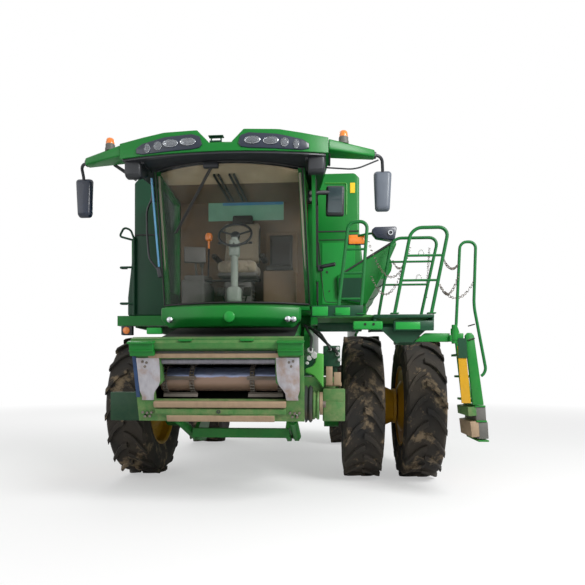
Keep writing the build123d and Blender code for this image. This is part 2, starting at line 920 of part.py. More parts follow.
# the front view of a raised pod, its top falling towards the roof's end
pod_outline = [
    (pod_inner_x - 20, roof_top - 42),
    (pod_inner_x, roof_top),
    (pod_inner_x + 115, pod_top),
    (pod_inner_x + 470, pod_top),
    (roof_half_width, roof_end_top),
    (roof_half_width, roof_top - 42),
]
# the side view of both pods, their tops falling towards the rear
pod_side = [
    (roof_edge_front - 300, roof_top - 50),
    (roof_edge_front - 300, pod_top + 10),
    (-1950, pod_top + 10),
    (pod_rear, roof_top + 3),
    (pod_rear, roof_top - 50),
]
with BuildPart() as lamp_pods:
    with BuildSketch(Plane.XY.offset(roof_top - 50)):
        Polygon(*roof_plan, align=None)
    extrude(amount=pod_top - roof_top + 60)
    add(plate(across(-roof_half_width), pod_side, 2 * roof_half_width), mode=Mode.INTERSECT)
    with BuildSketch(ahead(roof_edge_front - 300)):
        for side in (1, -1):
            Polygon(*[(side * x, z) for x, z in pod_outline], align=None)
    extrude(amount=roof_edge_front - 300 - pod_rear, mode=Mode.INTERSECT)
with BuildPart() as cab_roof:
    with BuildSketch(Plane.XY.offset(roof_bottom)):
        Polygon(*roof_plan, align=None)
    extrude(amount=roof_top - roof_bottom)
    chamfer(cab_roof.faces().sort_by(Axis.Z)[-1].edges(), 20)
    add(lamp_pods.part)
    # air ducts below the roof's front corners
    for side in (1, -1):
        add(block((side * duct_x[0], side * duct_x[1]), duct_y, (duct_bottom, roof_bottom + 1)))
pieces["cab_roof"] = cab_roof

# lamps: four in each pod, set in its bowed front
lamp_depth = 34
with BuildPart() as work_lamps:
    for side in (1, -1):
        # lamps as (distance from the middle, height, half width, half height, front)
        for x, z, half, high, front in (
            (295, 3745, 75, 40, -2350),
            (485, 3740, 75, 40, -2335),
            (633, 3718, 42, 42, -2318),
            (762, 3708, 34, 48, -2302),
        ):
            with BuildSketch(ahead(front)):
                with Locations((side * x, z)):
                    Polygon(*cornered(half, high, 20), align=None)
            extrude(amount=-lamp_depth)
    add(cab_roof.part, mode=Mode.SUBTRACT)
pieces["work_lamps"] = work_lamps

# wings at the roof's ends carry the mirrors and beacons
wing_tip = (1559, -1906, 3728)
wing_root_y = roof_edge_front + 130
with BuildPart() as roof_wings:
    for side in (1, -1):
        wing = plate(Plane.XY.offset(roof_bottom), [
            (side * (roof_half_width + 1), wing_root_y - 120),
            (side * (roof_half_width + 1), wing_root_y + 120),
            (side * wing_tip[0], wing_tip[1] + 55),
            (side * wing_tip[0], wing_tip[1] - 55),
        ], roof_end_top - roof_bottom)
        wing_front_view = plate(ahead(wing_root_y + 600), [
            (side * (roof_half_width + 1), roof_end_top - 5),
            (side * (roof_half_width + 1), roof_end_top - 115),
            (side * wing_tip[0], wing_tip[2] - 36),
            (side * wing_tip[0], wing_tip[2] + 36),
        ], 1200)
        add(wing & wing_front_view)
pieces["roof_wings"] = roof_wings

beacon = (1231, -2071, 3786)
with BuildPart() as amber_lamps:
    for side in (1, -1):
        with BuildSketch(Plane.XY.offset(beacon[2] + 10)):
            with Locations((side * beacon[0], beacon[1])):
                RegularPolygon(48, bar_facets)
        extrude(amount=128, taper=6)
    add(block((1320, 1540), (fascia_front - 22, fascia_front - 1), (3010, 3180)))
    lamp_top = fascia_bottom - ledge_height - 2
    add(block((-1640, -1490), (fascia_front - 10, fascia_front + 70), (lamp_top - 120, lamp_top)))
pieces["amber_lamps"] = amber_lamps

# wide mirrors below the wing tips
mirror_centre = (1660, -1750, 3395)
mirror_arms = []
for side in (1, -1):
    x, y, z = mirror_centre
    mirror_arms.append(tube([
        (side * (wing_tip[0] + 8), wing_tip[1], wing_tip[2]),
        (side * x, wing_tip[1] + 40, wing_tip[2] - 20),
        (side * x, y, z + 200),
    ], 28, 20))
with BuildPart() as mirrors:
    for arm in mirror_arms:
        add(arm)
    for side in (1, -1):
        x, y, z = mirror_centre
        with BuildSketch(ahead(y - 45)):
            with Locations((side * x, z)):
                Polygon(*cornered(107, 230, 45), align=None)
        extrude(amount=-95, taper=8)
pieces["mirrors"] = mirrors

# nose below the windshield with two lamp recesses on each side
nose_top = 2200
nose_bottom = 1930
nose_half_width = 774
nose_edge_y = -1781
nose_rear_y = -1625
nose_lip = nose_bottom + 90
nose_outline = [
    *bowed_edge(nose_half_width, nose_edge_y, 190),
    (nose_half_width, nose_rear_y),
    (-nose_half_width, nose_rear_y),
]
with BuildPart() as nose_keel:
    with BuildSketch():
        Polygon(*nose_outline, align=None)
    extrude(amount=nose_lip - nose_bottom, taper=40)
with BuildPart() as cab_nose:
    with BuildSketch(Plane.XY.offset(nose_lip)):
        Polygon(*nose_outline, align=None)
    extrude(amount=nose_top - 48 - nose_lip)
    # the keel draws in below the lip
    add(placed(nose_keel.part.mirror(Plane.XY), 0, 0, nose_lip))
pieces["cab_nose"] = cab_nose

# inside the cab
seat_centre = (0, -1120)
cushion_z = (2620, 2760)
with BuildPart() as operator_seat:
    x, y = seat_centre
    add(block((x - 160, x + 160), (y - 160, y + 160), (cab_floor_top, cushion_z[0])))
    add(block((x - 255, x + 255), (y - 260, y + 220), cushion_z))
    add(plate(across(x - 245), [(y + 120, cushion_z[1] - 5), (y + 220, cushion_z[1] - 5),
        (y + 290, 3370), (y + 180, 3390)], 490))
    for side in (1, -1):
        add(block((x + side * 250, x + side * 320), (y - 180, y + 190),
            (cushion_z[1] - 10, cushion_z[1] + 130)))
pieces["operator_seat"] = operator_seat

column_foot = (0, -1512, cab_floor_top + 2)
wheel_centre = Vector(0, -1460, 3020)
wheel_normal = Vector(0, 0.8, 0.6)
with BuildPart() as steering_column:
    with BuildSketch(Plane(origin=column_foot, z_dir=(0, 0.02, 1))):
        Rectangle(150, 120)
    extrude(amount=800, taper=2)
    with BuildSketch(Plane(origin=wheel_centre - wheel_normal * 90, z_dir=wheel_normal)):
        RegularPolygon(40, bar_facets)
    extrude(amount=100)
    with BuildSketch(Plane(origin=wheel_centre, z_dir=wheel_normal)):
        RegularPolygon(200, drum_facets)
        RegularPolygon(176, drum_facets, mode=Mode.SUBTRACT)
        Rectangle(360, 40)
        RegularPolygon(55, bar_facets)
    extrude(amount=24)
pieces["steering_column"] = steering_column

with BuildPart() as control_console:
    add(block((-640, -360), (-1460, -900), (cab_floor_top, 2560)))
    chamfer(control_console.edges().filter_by(Axis.X).sort_by(Axis.Y)[:1], 120)
    add(block((-560, -380), (-1490, -1440), (2700, 2900)))
    add(block((-500, -440), (-1470, -1400), (2540, 2720)))
pieces["control_console"] = control_console

# ---------------------------------------------------------------- feeder house

tilt = radians(feeder_angle)


def feeder_side(x=0):
    """Plane along the feeder house at a place across it, drawn with forward to the right."""
    return Plane(
        origin=(x, feeder_pivot_y, feeder_pivot_z),
        x_dir=(0, -cos(tilt), -sin(tilt)),
        z_dir=(-1, 0, 0),
    )


def feeder_cross(along):
    """Plane square to the feeder house, drawn with X to the right and up the house's height."""
    return Plane(
        origin=(
            0,
            feeder_pivot_y - along * cos(tilt),
            feeder_pivot_z - along * sin(tilt),
        ),
        x_dir=(1, 0, 0),
        z_dir=(0, -cos(tilt), -sin(tilt)),
    )


inner_rear = feeder_rear_half_height - feeder_wall
inner_front = feeder_front_half_height - feeder_wall
lift_along = 1330
lift_drop = 400
clevis_gap = 76
clevis_wall = 16
with BuildPart() as feeder_house:
    with BuildSketch(feeder_side()):
        Polygon(
            (0, feeder_rear_half_height),
            (feeder_length, feeder_front_half_height),
            (feeder_length, -feeder_front_half_height),
            (0, -feeder_rear_half_height),
            align=None,
        )
        RegularPolygon(feeder_rear_half_height, drum_facets)
    extrude(amount=feeder_half_width, both=True)
    with BuildSketch(feeder_side()):
        Polygon(
            (-400, 300),
            (0, 300),
            (0, inner_rear),
            (feeder_length + 1, inner_front),
            (feeder_length + 1, -inner_front),
            (0, -inner_rear),
            (0, -300),
            (-400, -300),
            align=None,
        )
    extrude(amount=feeder_half_width - feeder_wall, both=True, mode=Mode.SUBTRACT)
    # stub shafts in the cheeks
    for side in (1, -1):
        add(rod((side * feeder_half_width, feeder_pivot_y, feeder_pivot_z),
            (side * (body_half_width + 30), feeder_pivot_y, feeder_pivot_z), pivot_radius))
    # clevises below for the lift cylinders, with their pins
    for side in (1, -1):
        for inset in (clevis_gap / 2, -clevis_gap / 2 - clevis_wall):
            with BuildSketch(feeder_side(side * cylinder_x - inset)):
                Polygon(
                    (lift_along - 150, -feeder_front_half_height + 40),
                    (lift_along + 150, -feeder_front_half_height + 10),
                    (lift_along + 45, -lift_drop - 50),
                    (lift_along - 45, -lift_drop - 50),
                    align=None,
                )
            extrude(amount=clevis_wall)
        with BuildSketch(feeder_side(side * cylinder_x + clevis_gap / 2 + clevis_wall)):
            with Locations((lift_along, -lift_drop)):
                Circle(pin_radius)
        extrude(amount=clevis_gap + 2 * clevis_wall)
    # the inside stays clear of the clevis plates
    with BuildSketch(feeder_side()):
        Polygon(
            (0, inner_rear),
            (feeder_length + 1, inner_front),
            (feeder_length + 1, -inner_front),
            (0, -inner_rear),
            align=None,
        )
    extrude(amount=feeder_half_width - feeder_wall, both=True, mode=Mode.SUBTRACT)
pieces["feeder_house"] = feeder_house

# face frame: opening wider at its foot, with a sill and hooks for a header
opening_top = 225
opening_low = -215
opening_half_top = 565
opening_half_low = 665
with BuildPart() as feeder_face:
    with BuildSketch(feeder_cross(feeder_length + 1)):
        Rectangle(2 * face_half_width, 2 * face_half_height)
        Polygon(
            (-opening_half_top, opening_top),
            (opening_half_top, opening_top),
            (opening_half_top, -20),
            (opening_half_low, -110),
            (opening_half_low, opening_low),
            (-opening_half_low, opening_low),
            (-opening_half_low, -110),
            (-opening_half_top, -20),
            align=None,
            mode=Mode.SUBTRACT,
        )
        # latch pin holes at the lower corners
        for side in (1, -1):
            with Locations((side * 765, 55 - face_half_height)):
                Circle(18, mode=Mode.SUBTRACT)
    extrude(amount=face_depth)
    # saddle beam along the top, which a header hangs on
    with BuildSketch(feeder_cross(feeder_length + 1 + face_depth)):
        with Locations((0, face_half_height - 60)):
            Rectangle(2 * face_half_width - 20, 90)
    extrude(amount=45, taper=20)
    # skid under the sill
    with BuildSketch(feeder_cross(feeder_length + 1 + face_depth)):
        with Locations((0, 45 - face_half_height)):
            Rectangle(1100, 70)
    extrude(amount=25)
pieces["feeder_face"] = feeder_face

# conveyor: front and rear drums, four chain strands and two rows of slats
drum_radius = 125
front_drum_along = 1395
front_drum_up = -70
rear_drum_along = 0
chain_band = 26
chain_width = 34
strand_places = (-590, -310, 310, 590)
slat_height = 48
slat_length = 330
conveyor_run = hypot(front_drum_along - rear_drum_along, front_drum_up)
conveyor_slope = degrees(atan2(front_drum_up, front_drum_along - rear_drum_along))
conveyor_middle = ((front_drum_along + rear_drum_along) / 2, front_drum_up / 2)


def chain_loop(reach):
    """Outline of a chain round both drums, which wraps each of them in straight links."""
    loop = []
    for end in (1, -1):
        for step in range(5):
            turn = radians(45 * step - 90)
            loop.append((end * (conveyor_run / 2 + reach * cos(turn)), end * reach * sin(turn)))
    return loop


with BuildPart() as feeder_conveyor:
    for along, up in ((front_drum_along, front_drum_up), (rear_drum_along, 0)):
        with BuildSketch(feeder_side()):
            with Locations((along, up)):
                RegularPolygon(drum_radius, drum_facets)
        extrude(amount=640, both=True)
        with BuildSketch(feeder_side()):
            with Locations((along, up)):
                RegularPolygon(40, bar_facets)
        extrude(amount=feeder_half_width - feeder_wall, both=True)
    for x in strand_places:
        with BuildSketch(feeder_side(x + chain_width / 2)):
            with Locations(Location(conveyor_middle, conveyor_slope)):
                Polygon(*chain_loop(drum_radius + chain_band), align=None)
                Polygon(*chain_loop(drum_radius - 1), align=None, mode=Mode.SUBTRACT)
        extrude(amount=chain_width)
    slat_pitch = conveyor_run / 5
    for x in (-(strand_places[3] + strand_places[2]) / 2, (strand_places[3] + strand_places[2]) / 2):
        start = 0.25 if x > 0 else 0.75
        with BuildSketch(feeder_side(x + slat_length / 2)):
            for step in range(5):
                for top in (1, -1):
                    reach = (step + start) * slat_pitch - conveyor_run / 2
                    with Locations(Location(conveyor_middle, conveyor_slope)):
                        with Locations((reach, top * (drum_radius + chain_band + slat_height / 2 - 4))):
                            Rectangle(12, slat_height)
        extrude(amount=slat_length)
pieces["feeder_conveyor"] = feeder_conveyor

# drives on the feeder's sides
drive_along = 1395
with BuildPart() as feeder_drive:
    # pulley stack on the left as (start, width, radius)
    for start, width, radius in ((2, 26, 150), (28, 18, 80), (46, 34, 190), (80, 16, 90), (96, 30, 160)):
        with BuildSketch(feeder_side(feeder_half_width + start + width)):
            with Locations((drive_along - 20, front_drum_up)):
                RegularPolygon(radius, drum_facets)
        extrude(amount=width)
    # gearbox and guard behind the stack
    with BuildSketch(feeder_side(feeder_half_width + 520)):
        Polygon(
            (drive_along - 320, 60),
            (drive_along - 90, 60),
            (drive_along - 60, -290),
            (drive_along - 300, -290),
            align=None,
        )
    extrude(amount=518)
    # slanting chain case up to the upper shaft
    with BuildSketch(feeder_side(feeder_half_width + 60)):
        Polygon(
            (160, 170),
            (drive_along - 200, 190),
            (drive_along - 200, 60),
            (160, -60),
            align=None,
        )
    extrude(amount=58)
    # plate on the right
    with BuildSketch(feeder_side(-feeder_half_width - 2)):
        Polygon(
            (drive_along - 320, -20),
            (drive_along - 120, -20),
            (drive_along - 90, -290),
            (drive_along - 300, -290),
            align=None,
        )
    extrude(amount=400)
pieces["feeder_drive"] = feeder_drive

# lift cylinders, from feet under the axle to the feeder's clevises
eye_y = feeder_pivot_y - lift_along * cos(tilt) + lift_drop * sin(tilt)
eye_z = feeder_pivot_z - lift_along * sin(tilt) - lift_drop * cos(tilt)
cylinder_length = hypot(eye_y - cylinder_foot_y, eye_z - cylinder_foot_z)
cylinder_axis = Vector(0, (eye_y - cylinder_foot_y) / cylinder_length,
    (eye_z - cylinder_foot_z) / cylinder_length)
barrel_length = 860
rod_start = 650
barrel_radius = 55
rod_radius = 32
eye_width = 60
eye_slack = 10
for side, name in ((1, "left"), (-1, "right")):
    foot = Vector(side * cylinder_x, cylinder_foot_y, cylinder_foot_z)
    with BuildPart() as lift_barrel:
        with BuildSketch(Plane(origin=foot + cylinder_axis * 40, z_dir=cylinder_axis)):
            Circle(barrel_radius)
        extrude(amount=barrel_length - 40)
        with BuildSketch(Plane(origin=foot - Vector(eye_width / 2, 0, 0), z_dir=(1, 0, 0))):
            RegularPolygon(52, bar_facets)
        extrude(amount=eye_width)
        with BuildSketch(Plane(origin=foot - Vector(eye_width, 0, 0), z_dir=(1, 0, 0))):
            Circle(pin_radius + 0.5)
        extrude(amount=2 * eye_width, mode=Mode.SUBTRACT)
        with BuildSketch(Plane(origin=foot + cylinder_axis * 100, z_dir=cylinder_axis)):
            Circle(rod_radius + 0.5)
        extrude(amount=barrel_length, mode=Mode.SUBTRACT)
    pieces[f"lift_barrel_{name}"] = lift_barrel
    eye = Vector(side * cylinder_x, eye_y, eye_z)
    with BuildPart() as lift_rod:
        with BuildSketch(Plane(origin=foot + cylinder_axis * rod_start, z_dir=cylinder_axis)):
            Circle(rod_radius)
        extrude(amount=cylinder_length - rod_start)
        with BuildSketch(Plane(origin=eye - Vector(eye_width / 2, 0, 0), z_dir=(1, 0, 0))):
            RegularPolygon(52, bar_facets)
        extrude(amount=eye_width)
        with BuildSketch(Plane(origin=eye - Vector(eye_width, 0, 0), z_dir=(1, 0, 0))):
            Circle(pin_radius + eye_slack)
        extrude(amount=2 * eye_width, mode=Mode.SUBTRACT)
    pieces[f"lift_rod_{name}"] = lift_rod

# ---------------------------------------------------------------- platform, rails and ladder

deck_sheet = 24
beam_wall = 30
sheet_bottom = deck_top - deck_sheet
beam_z = (deck_top - deck_depth, sheet_bottom)
gusset_y = deck_front + 75
ladder_arm_x = (deck_outer_x - 195, deck_outer_x + 172)
ladder_arm_z = (deck_top - 298, deck_top - 200)
with BuildPart() as platform_deck:
    add(block((deck_inner_x, deck_outer_x), (deck_front, deck_rear), (sheet_bottom, deck_top)))
    for y in ((deck_front, deck_front + beam_wall), (deck_rear - beam_wall, deck_rear)):
        add(block((deck_inner_x, deck_outer_x), y, beam_z))
    # walkway from the deck to the door
    add(block((cab_side_x + 60, deck_inner_x), (deck_front + 60, deck_rear - 20),
        (sheet_bottom, deck_top)))
    add(block((cab_side_x + 60, deck_inner_x), (deck_front + 60, deck_front + 60 + beam_wall), beam_z))
    # brace and arm for the ladder
    add(plate(ahead(gusset_y), [
        (deck_outer_x - 410, sheet_bottom),
        (deck_outer_x - 10, sheet_bottom),
        (deck_outer_x - 110, ladder_arm_z[0] + 38),
        (deck_outer_x - 200, ladder_arm_z[0] - 2),
    ], -20))
    add(block(ladder_arm_x, (deck_front + 5, gusset_y), ladder_arm_z))
    add(block((body_half_width + 12, body_half_width + 220), (fascia_front - 330, fascia_front - 1),
        (deck_top - 160, sheet_bottom)))
pieces["platform_deck"] = platform_deck

# rails: bent tubes with bars between them
near_y = deck_front + 30
far_y = deck_rear - 20
hoop_y = deck_front + 80
bar_radius = 16
foot_z = deck_top + 8
near_rail = tube([(1785, near_y, foot_z), (1965, near_y, 2990), (2360, near_y, 2990),
    (2175, near_y, foot_z)], rail_tube, 110)
far_rail = tube([(1675, far_y, foot_z), (1850, far_y, 3050), (2405, far_y, 3050),
    (2185, far_y, foot_z)], rail_tube, 110)
hoop_rail = tube([(1175, hoop_y, foot_z), (1295, hoop_y, 3080), (1500, hoop_y, 3080),
    (1425, hoop_y, foot_z)], rail_tube, 60)


def lean_x(foot_x, top_x, top_z, z):
    """Where a leaning post is at a height."""
    return foot_x + (top_x - foot_x) * (z - foot_z) / (top_z - foot_z)


with BuildPart() as hand_rails:
    add(near_rail)
    add(far_rail)
    add(hoop_rail)
    for z in (2350, 2650):
        add(rod((lean_x(1785, 1965, 2990, z), near_y, z),
            (lean_x(2175, 2360, 2990, z), near_y, z), bar_radius))
        add(rod((lean_x(1675, 1850, 3050, z), far_y, z),
            (lean_x(2185, 2405, 3050, z), far_y, z), bar_radius))
    for z in (2240, 2520, 2780):
        add(rod((lean_x(1175, 1295, 3080, z), hoop_y, z),
            (lean_x(1425, 1500, 3080, z), hoop_y, z), bar_radius))
pieces["hand_rails"] = hand_rails

# rungs and post on the right, climbing to the tank
rung_post_x = -fascia_half_width + 10
rung_reach_x = rung_post_x - 185
rung_foot_x = -fascia_half_width - fascia_flare - 12
rung_y = fascia_front - 30
rung_depth = 60
rung_tube = 28
loop_low = 3160
rungs = [
    tube([(rung_post_x, rung_y, z), (rung_reach_x, rung_y, z),
        (rung_reach_x, rung_y + rung_depth, z), (rung_foot_x, rung_y + rung_depth, z)],
        rung_tube, 18)
    for z in (2340, 2810)
]
loop = tube([(rung_post_x, rung_y, loop_low), (rung_post_x - 195, rung_y, loop_low + 55),
    (rung_post_x - 135, rung_y, loop_low + 170), (rung_post_x - 45, rung_y, loop_low + 140),
    (rung_post_x, rung_y, loop_low + 20)], rung_tube, 30)
with BuildPart() as side_rungs:
    add(rod((rung_post_x, rung_y, fascia_bottom + 1), (rung_post_x, rung_y, loop_low + 40), 18))
    for rung in rungs:
        add(rung)
    add(loop)
pieces["side_rungs"] = side_rungs

# boarding ladder, hinged on the arm's end and hanging beside the wheel
ladder_hinge = (2420, -1760)
ladder_front_y = -1760
ladder_rear_y = -1250
stringer = 34
ladder_top = 1850
upper_stringer = [(2530, ladder_top), (2620, ladder_top), (2725, 1100), (2610, 1100)]
lower_stringer = [(2610, 1110), (2725, 1110), (2775, 900), (2770, 700), (2690, 690), (2600, 900)]
with BuildPart() as boarding_ladder:
    # hinge barrel and bracket
    with BuildSketch(Plane.XY.offset(1755)):
        with Locations(ladder_hinge):
            Circle(34)
    extrude(amount=180)
    add(block((2430, 2560), (-1785, -1740), (1765, 1850)))
    # side plates lean outward towards their feet
    for y in (ladder_front_y, ladder_rear_y - stringer):
        add(plate(ahead(y + stringer), upper_stringer, stringer))
        add(plate(ahead(y + stringer), lower_stringer, 14))
    # treads as (outer x, height)
    for x, z in ((2640, 1620), (2675, 1380), (2710, 1125), (2765, 905), (2765, 700)):
        add(block((x - 150, x), (ladder_front_y, ladder_rear_y), (z, z + 26)))
    # back plate
    add(plate(across(2532), [(ladder_front_y + 40, 1100), (ladder_rear_y, 1100),
        (ladder_rear_y, 1760), (ladder_front_y + 200, 1800)], 6))
pieces["boarding_ladder"] = boarding_ladder

handrail_y = ladder_hinge[1]
ladder_rail_tube = tube([(2437, handrail_y, 1936), (2477, handrail_y, 2830), (2642, handrail_y, 2830),
    (2622, handrail_y, 2150), (2755, handrail_y, 1430), (2700, handrail_y, 1400)], rail_tube - 6, 50)
with BuildPart() as ladder_handrail:
    add(ladder_rail_tube)
pieces["ladder_handrail"] = ladder_handrail

# ---------------------------------------------------------------- unloading auger

boot_foot = Vector(side_half_width - 110, 60, 2300)
boot_lean = radians(27)
boot_axis = Vector(sin(boot_lean), 0, cos(boot_lean))
boot_radius = 235
boot_length = 610
auger_x = side_half_width + 360
auger_z = 3010
auger_radius = 205
auger_end = 6350
swivel = (auger_x, 120)
swivel_z = 2800
with BuildPart() as auger_boot:
    with BuildSketch(Plane(origin=boot_foot, x_dir=(0, 1, 0), z_dir=boot_axis)):
        RegularPolygon(boot_radius, drum_facets)
    extrude(amount=boot_length)
    with BuildSketch(Plane(origin=boot_foot + boot_axis * 500, x_dir=(0, 1, 0), z_dir=boot_axis)):
        RegularPolygon(boot_radius + 30, drum_facets)
    extrude(amount=30)
    with BuildSketch(Plane.XY.offset(swivel_z)):
        Rectangle(6000, 6000)
    extrude(amount=600, mode=Mode.SUBTRACT)
    add(block((1000, side_half_width - 19), (-400, 400), (2000, 3200)), mode=Mode.SUBTRACT)
pieces["auger_boot"] = auger_boot

with BuildPart() as unloading_auger:
    # turret on the swivel ring, then the tube to the rear
    with BuildSketch(Plane.XY.offset(swivel_z + 2)):
        with Locations(swivel):
            RegularPolygon(boot_radius, drum_facets)
    extrude(amount=auger_z - swivel_z + 60)
    with BuildSketch(Plane.XZ.offset(-swivel[1])):
        with Locations((auger_x, auger_z)):
            RegularPolygon(auger_radius, drum_facets)
    extrude(amount=-(auger_end - swivel[1]))
    with BuildSketch(Plane.XZ.offset(-(auger_end - 330))):
        with Locations((auger_x, auger_z)):
            RegularPolygon(auger_radius + 18, drum_facets)
    extrude(amount=-20)
    # spout turned down at the end
    with BuildSketch(Plane.XY.offset(auger_z)):
        with Locations((auger_x, auger_end - 190)):
            RegularPolygon(200, drum_facets)
    extrude(amount=-420)
pieces["unloading_auger"] = unloading_auger

os.makedirs("parts", exist_ok=True)
for label, piece in pieces.items():
    whole = piece.part.moved(Location(Vector(*middle_of_machine) * -1))
    whole.label = label
    export_step(whole, f"parts/{label}.step")
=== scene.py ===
import json
import math
import bpy
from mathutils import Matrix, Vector


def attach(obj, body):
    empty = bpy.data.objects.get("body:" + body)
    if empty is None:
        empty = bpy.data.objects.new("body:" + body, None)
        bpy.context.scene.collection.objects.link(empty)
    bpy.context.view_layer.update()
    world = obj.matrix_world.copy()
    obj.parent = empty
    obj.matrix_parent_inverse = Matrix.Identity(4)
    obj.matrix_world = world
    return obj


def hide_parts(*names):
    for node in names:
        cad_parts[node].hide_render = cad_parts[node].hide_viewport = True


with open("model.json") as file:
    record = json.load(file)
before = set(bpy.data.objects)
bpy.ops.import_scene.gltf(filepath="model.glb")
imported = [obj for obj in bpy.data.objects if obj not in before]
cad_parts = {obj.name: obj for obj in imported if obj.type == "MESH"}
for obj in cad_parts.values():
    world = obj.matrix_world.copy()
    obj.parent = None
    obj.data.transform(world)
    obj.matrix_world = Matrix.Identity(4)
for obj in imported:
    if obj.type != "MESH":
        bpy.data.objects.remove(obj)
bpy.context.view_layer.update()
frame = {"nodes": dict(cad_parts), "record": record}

nodes = frame["nodes"]
scene = bpy.context.scene
# machine places are written from the ground under the front axle's middle
machineMiddle = Vector((0.4935, 1.911, 0))
bothSides = ((1, "Left"), (-1, "Right"))
# turns that lay an upright round piece across or along the machine
lyingAcross, lyingAlong = (0, math.pi / 2, 0), (math.pi / 2, 0, 0)


def place(x, y, z):
    return Vector((x, y, z)) - machineMiddle


# ---- materials

def hexColour(code):
    channels = [int(code[i:i + 2], 16) / 255 for i in (1, 3, 5)]
    linear = [c / 12.92 if c <= 0.04045 else ((c + 0.055) / 1.055) ** 2.4 for c in channels]
    return (*linear, 1)


def addNode(tree, kind, values=None, links=None):
    node = tree.nodes.new(kind)
    for key, value in (values or {}).items():
        if isinstance(key, str) and hasattr(node, key):
            setattr(node, key, value)
        else:
            node.inputs[key].default_value = value
    for key, socket in (links or {}).items():
        tree.links.new(socket, node.inputs[key])
    return node


def newMaterial(name):
    material = bpy.data.materials.new(name)
    material.use_nodes = True
    tree = material.node_tree
    shader = tree.nodes["Principled BSDF"]
    where = addNode(tree, "ShaderNodeTexCoord").outputs["Object"]
    return material, tree, shader, where


def setInputs(shader, values):
    for name, value in values.items():
        shader.inputs[name].default_value = value


def noise(tree, where, scale, detail, rough=0.5):
    return addNode(tree, "ShaderNodeTexNoise", {"Scale": scale, "Detail": detail, "Roughness": rough},
        {"Vector": where}).outputs["Fac"]


def ranged(tree, value, start, end, low=0.0, high=1.0):
    return addNode(tree, "ShaderNodeMapRange", {"From Min": start, "From Max": end, "To Min": low,
        "To Max": high}, {"Value": value}).outputs[0]


def maths(tree, operation, *terms, clamp=False):
    node = addNode(tree, "ShaderNodeMath", {"operation": operation, "use_clamp": clamp})
    for index, term in enumerate(terms):
        if isinstance(term, float):
            node.inputs[index].default_value = term
        else:
            tree.links.new(term, node.inputs[index])
    return node.outputs[0]


def blended(tree, share, first, second):
    # between two colours, each a hex code or a socket
    values, links = {"data_type": "RGBA"}, {0: share}
    for key, colour in ((6, first), (7, second)):
        if isinstance(colour, str):
            values[key] = hexColour(colour)
        else:
            links[key] = colour
    return addNode(tree, "ShaderNodeMix", values, links).outputs[2]


def painted(tree, shader, colour, height, strength, distance):
    # a colour and the small relief that goes with it
    bump = addNode(tree, "ShaderNodeBump", {"Strength": strength, "Distance": distance}, {"Height": height})
    tree.links.new(colour, shader.inputs["Base Color"])
    tree.links.new(bump.outputs[0], shader.inputs["Normal"])


def enamel(name, look):
    # gloss machinery enamel, sprayed: slight orange peel, road dust on what faces up and low down
    material, tree, shader, where = newMaterial(name)
    tone = blended(tree, noise(tree, where, 1.7, 4.0), look["shade"], look["light"])
    normal = addNode(tree, "ShaderNodeNewGeometry").outputs["Normal"]
    facing = addNode(tree, "ShaderNodeSeparateXYZ", {}, {0: normal}).outputs["Z"]
    height = addNode(tree, "ShaderNodeSeparateXYZ", {}, {0: where}).outputs["Z"]
    up = ranged(tree, facing, 0.2, 1.0, high=look["dustTop"])
    low = ranged(tree, height, 2.1, 0.3, high=look["dustLow"])
    settled = maths(tree, "ADD", up, low, clamp=True)
    patchy = ranged(tree, noise(tree, where, 11.0, 8.0, 0.68), 0.38, 0.7, low=0.25)
    dust = maths(tree, "MULTIPLY", settled, patchy, clamp=True)
    painted(tree, shader, blended(tree, dust, tone, look["dust"]), noise(tree, where, 55.0, 3.0), 0.06, 0.002)
    gloss = ranged(tree, dust, 0.0, 1.0, look["rough"], 0.85)
    tree.links.new(gloss, shader.inputs["Roughness"])
    setInputs(shader, {"Coat Weight": 0.07, "Coat Roughness": 0.15, "Specular IOR Level": 0.25})
    return material


greenEnamel = enamel("greenEnamel", {"light": "#12802A", "shade": "#075C24", "dust": "#6E8A4C",
    "dustTop": 0.16, "dustLow": 0.22, "rough": 0.36})
# a paler copy of the green enamel for parts that catch the light: painted light
litGreen = enamel("litGreen", {"light": "#1F973A", "shade": "#127C32", "dust": "#86A863", "dustTop": 0.2,
    "dustLow": 0.2, "rough": 0.34})
railGreen = enamel("railGreen", {"light": "#116E2E", "shade": "#0A5426", "dust": "#5E7A48", "dustTop": 0.12,
    "dustLow": 0.15, "rough": 0.34})
# dark green paint, also used as painted shade on the tank front's shaded half and in the boot guard's hollow
darkGreenAndShade = enamel("darkGreenAndShade", {"light": "#0A4329", "shade": "#05301D", "dust": "#5C6E46",
    "dustTop": 0.12, "dustLow": 0.22, "rough": 0.42})
yellowEnamel = enamel("yellowEnamel", {"light": "#CF9F10", "shade": "#A97C0C", "dust": "#94794C",
    "dustTop": 0.15, "dustLow": 0.4, "rough": 0.36})
dustyGreen = enamel("dustyGreen", {"light": "#357C36", "shade": "#1B5B2A", "dust": "#97906A", "dustTop": 0.3,
    "dustLow": 0.75, "rough": 0.55})
limeGreen = enamel("limeGreen", {"light": "#4A9A3C", "shade": "#368433", "dust": "#A8B878", "dustTop": 0.2,
    "dustLow": 0.2, "rough": 0.4})
blackEnamel = enamel("blackEnamel", {"light": "#20221F", "shade": "#141513", "dust": "#6E6650",
    "dustTop": 0.25, "dustLow": 0.35, "rough": 0.42})


def dirtyRubber(name, look):
    # black tyre rubber with dried tan mud left in patches over a thin haze of dust
    material, tree, shader, where = newMaterial(name)
    clods = noise(tree, where, look["patch"], 9.0, 0.7)
    mud = ranged(tree, clods, look["edge"], look["edge"] + 0.1, high=0.85)
    haze = ranged(tree, noise(tree, where, 2.3, 3.0), 0.3, 0.8, 0.02, 0.2)
    colour = blended(tree, maths(tree, "MAXIMUM", mud, haze), look["rubber"], look["mud"])
    relief = maths(tree, "MULTIPLY_ADD", noise(tree, where, 90.0, 5.0), 0.35, mud)
    painted(tree, shader, colour, relief, 0.5, 0.006)
    shader.inputs["Roughness"].default_value = 0.82
    return material


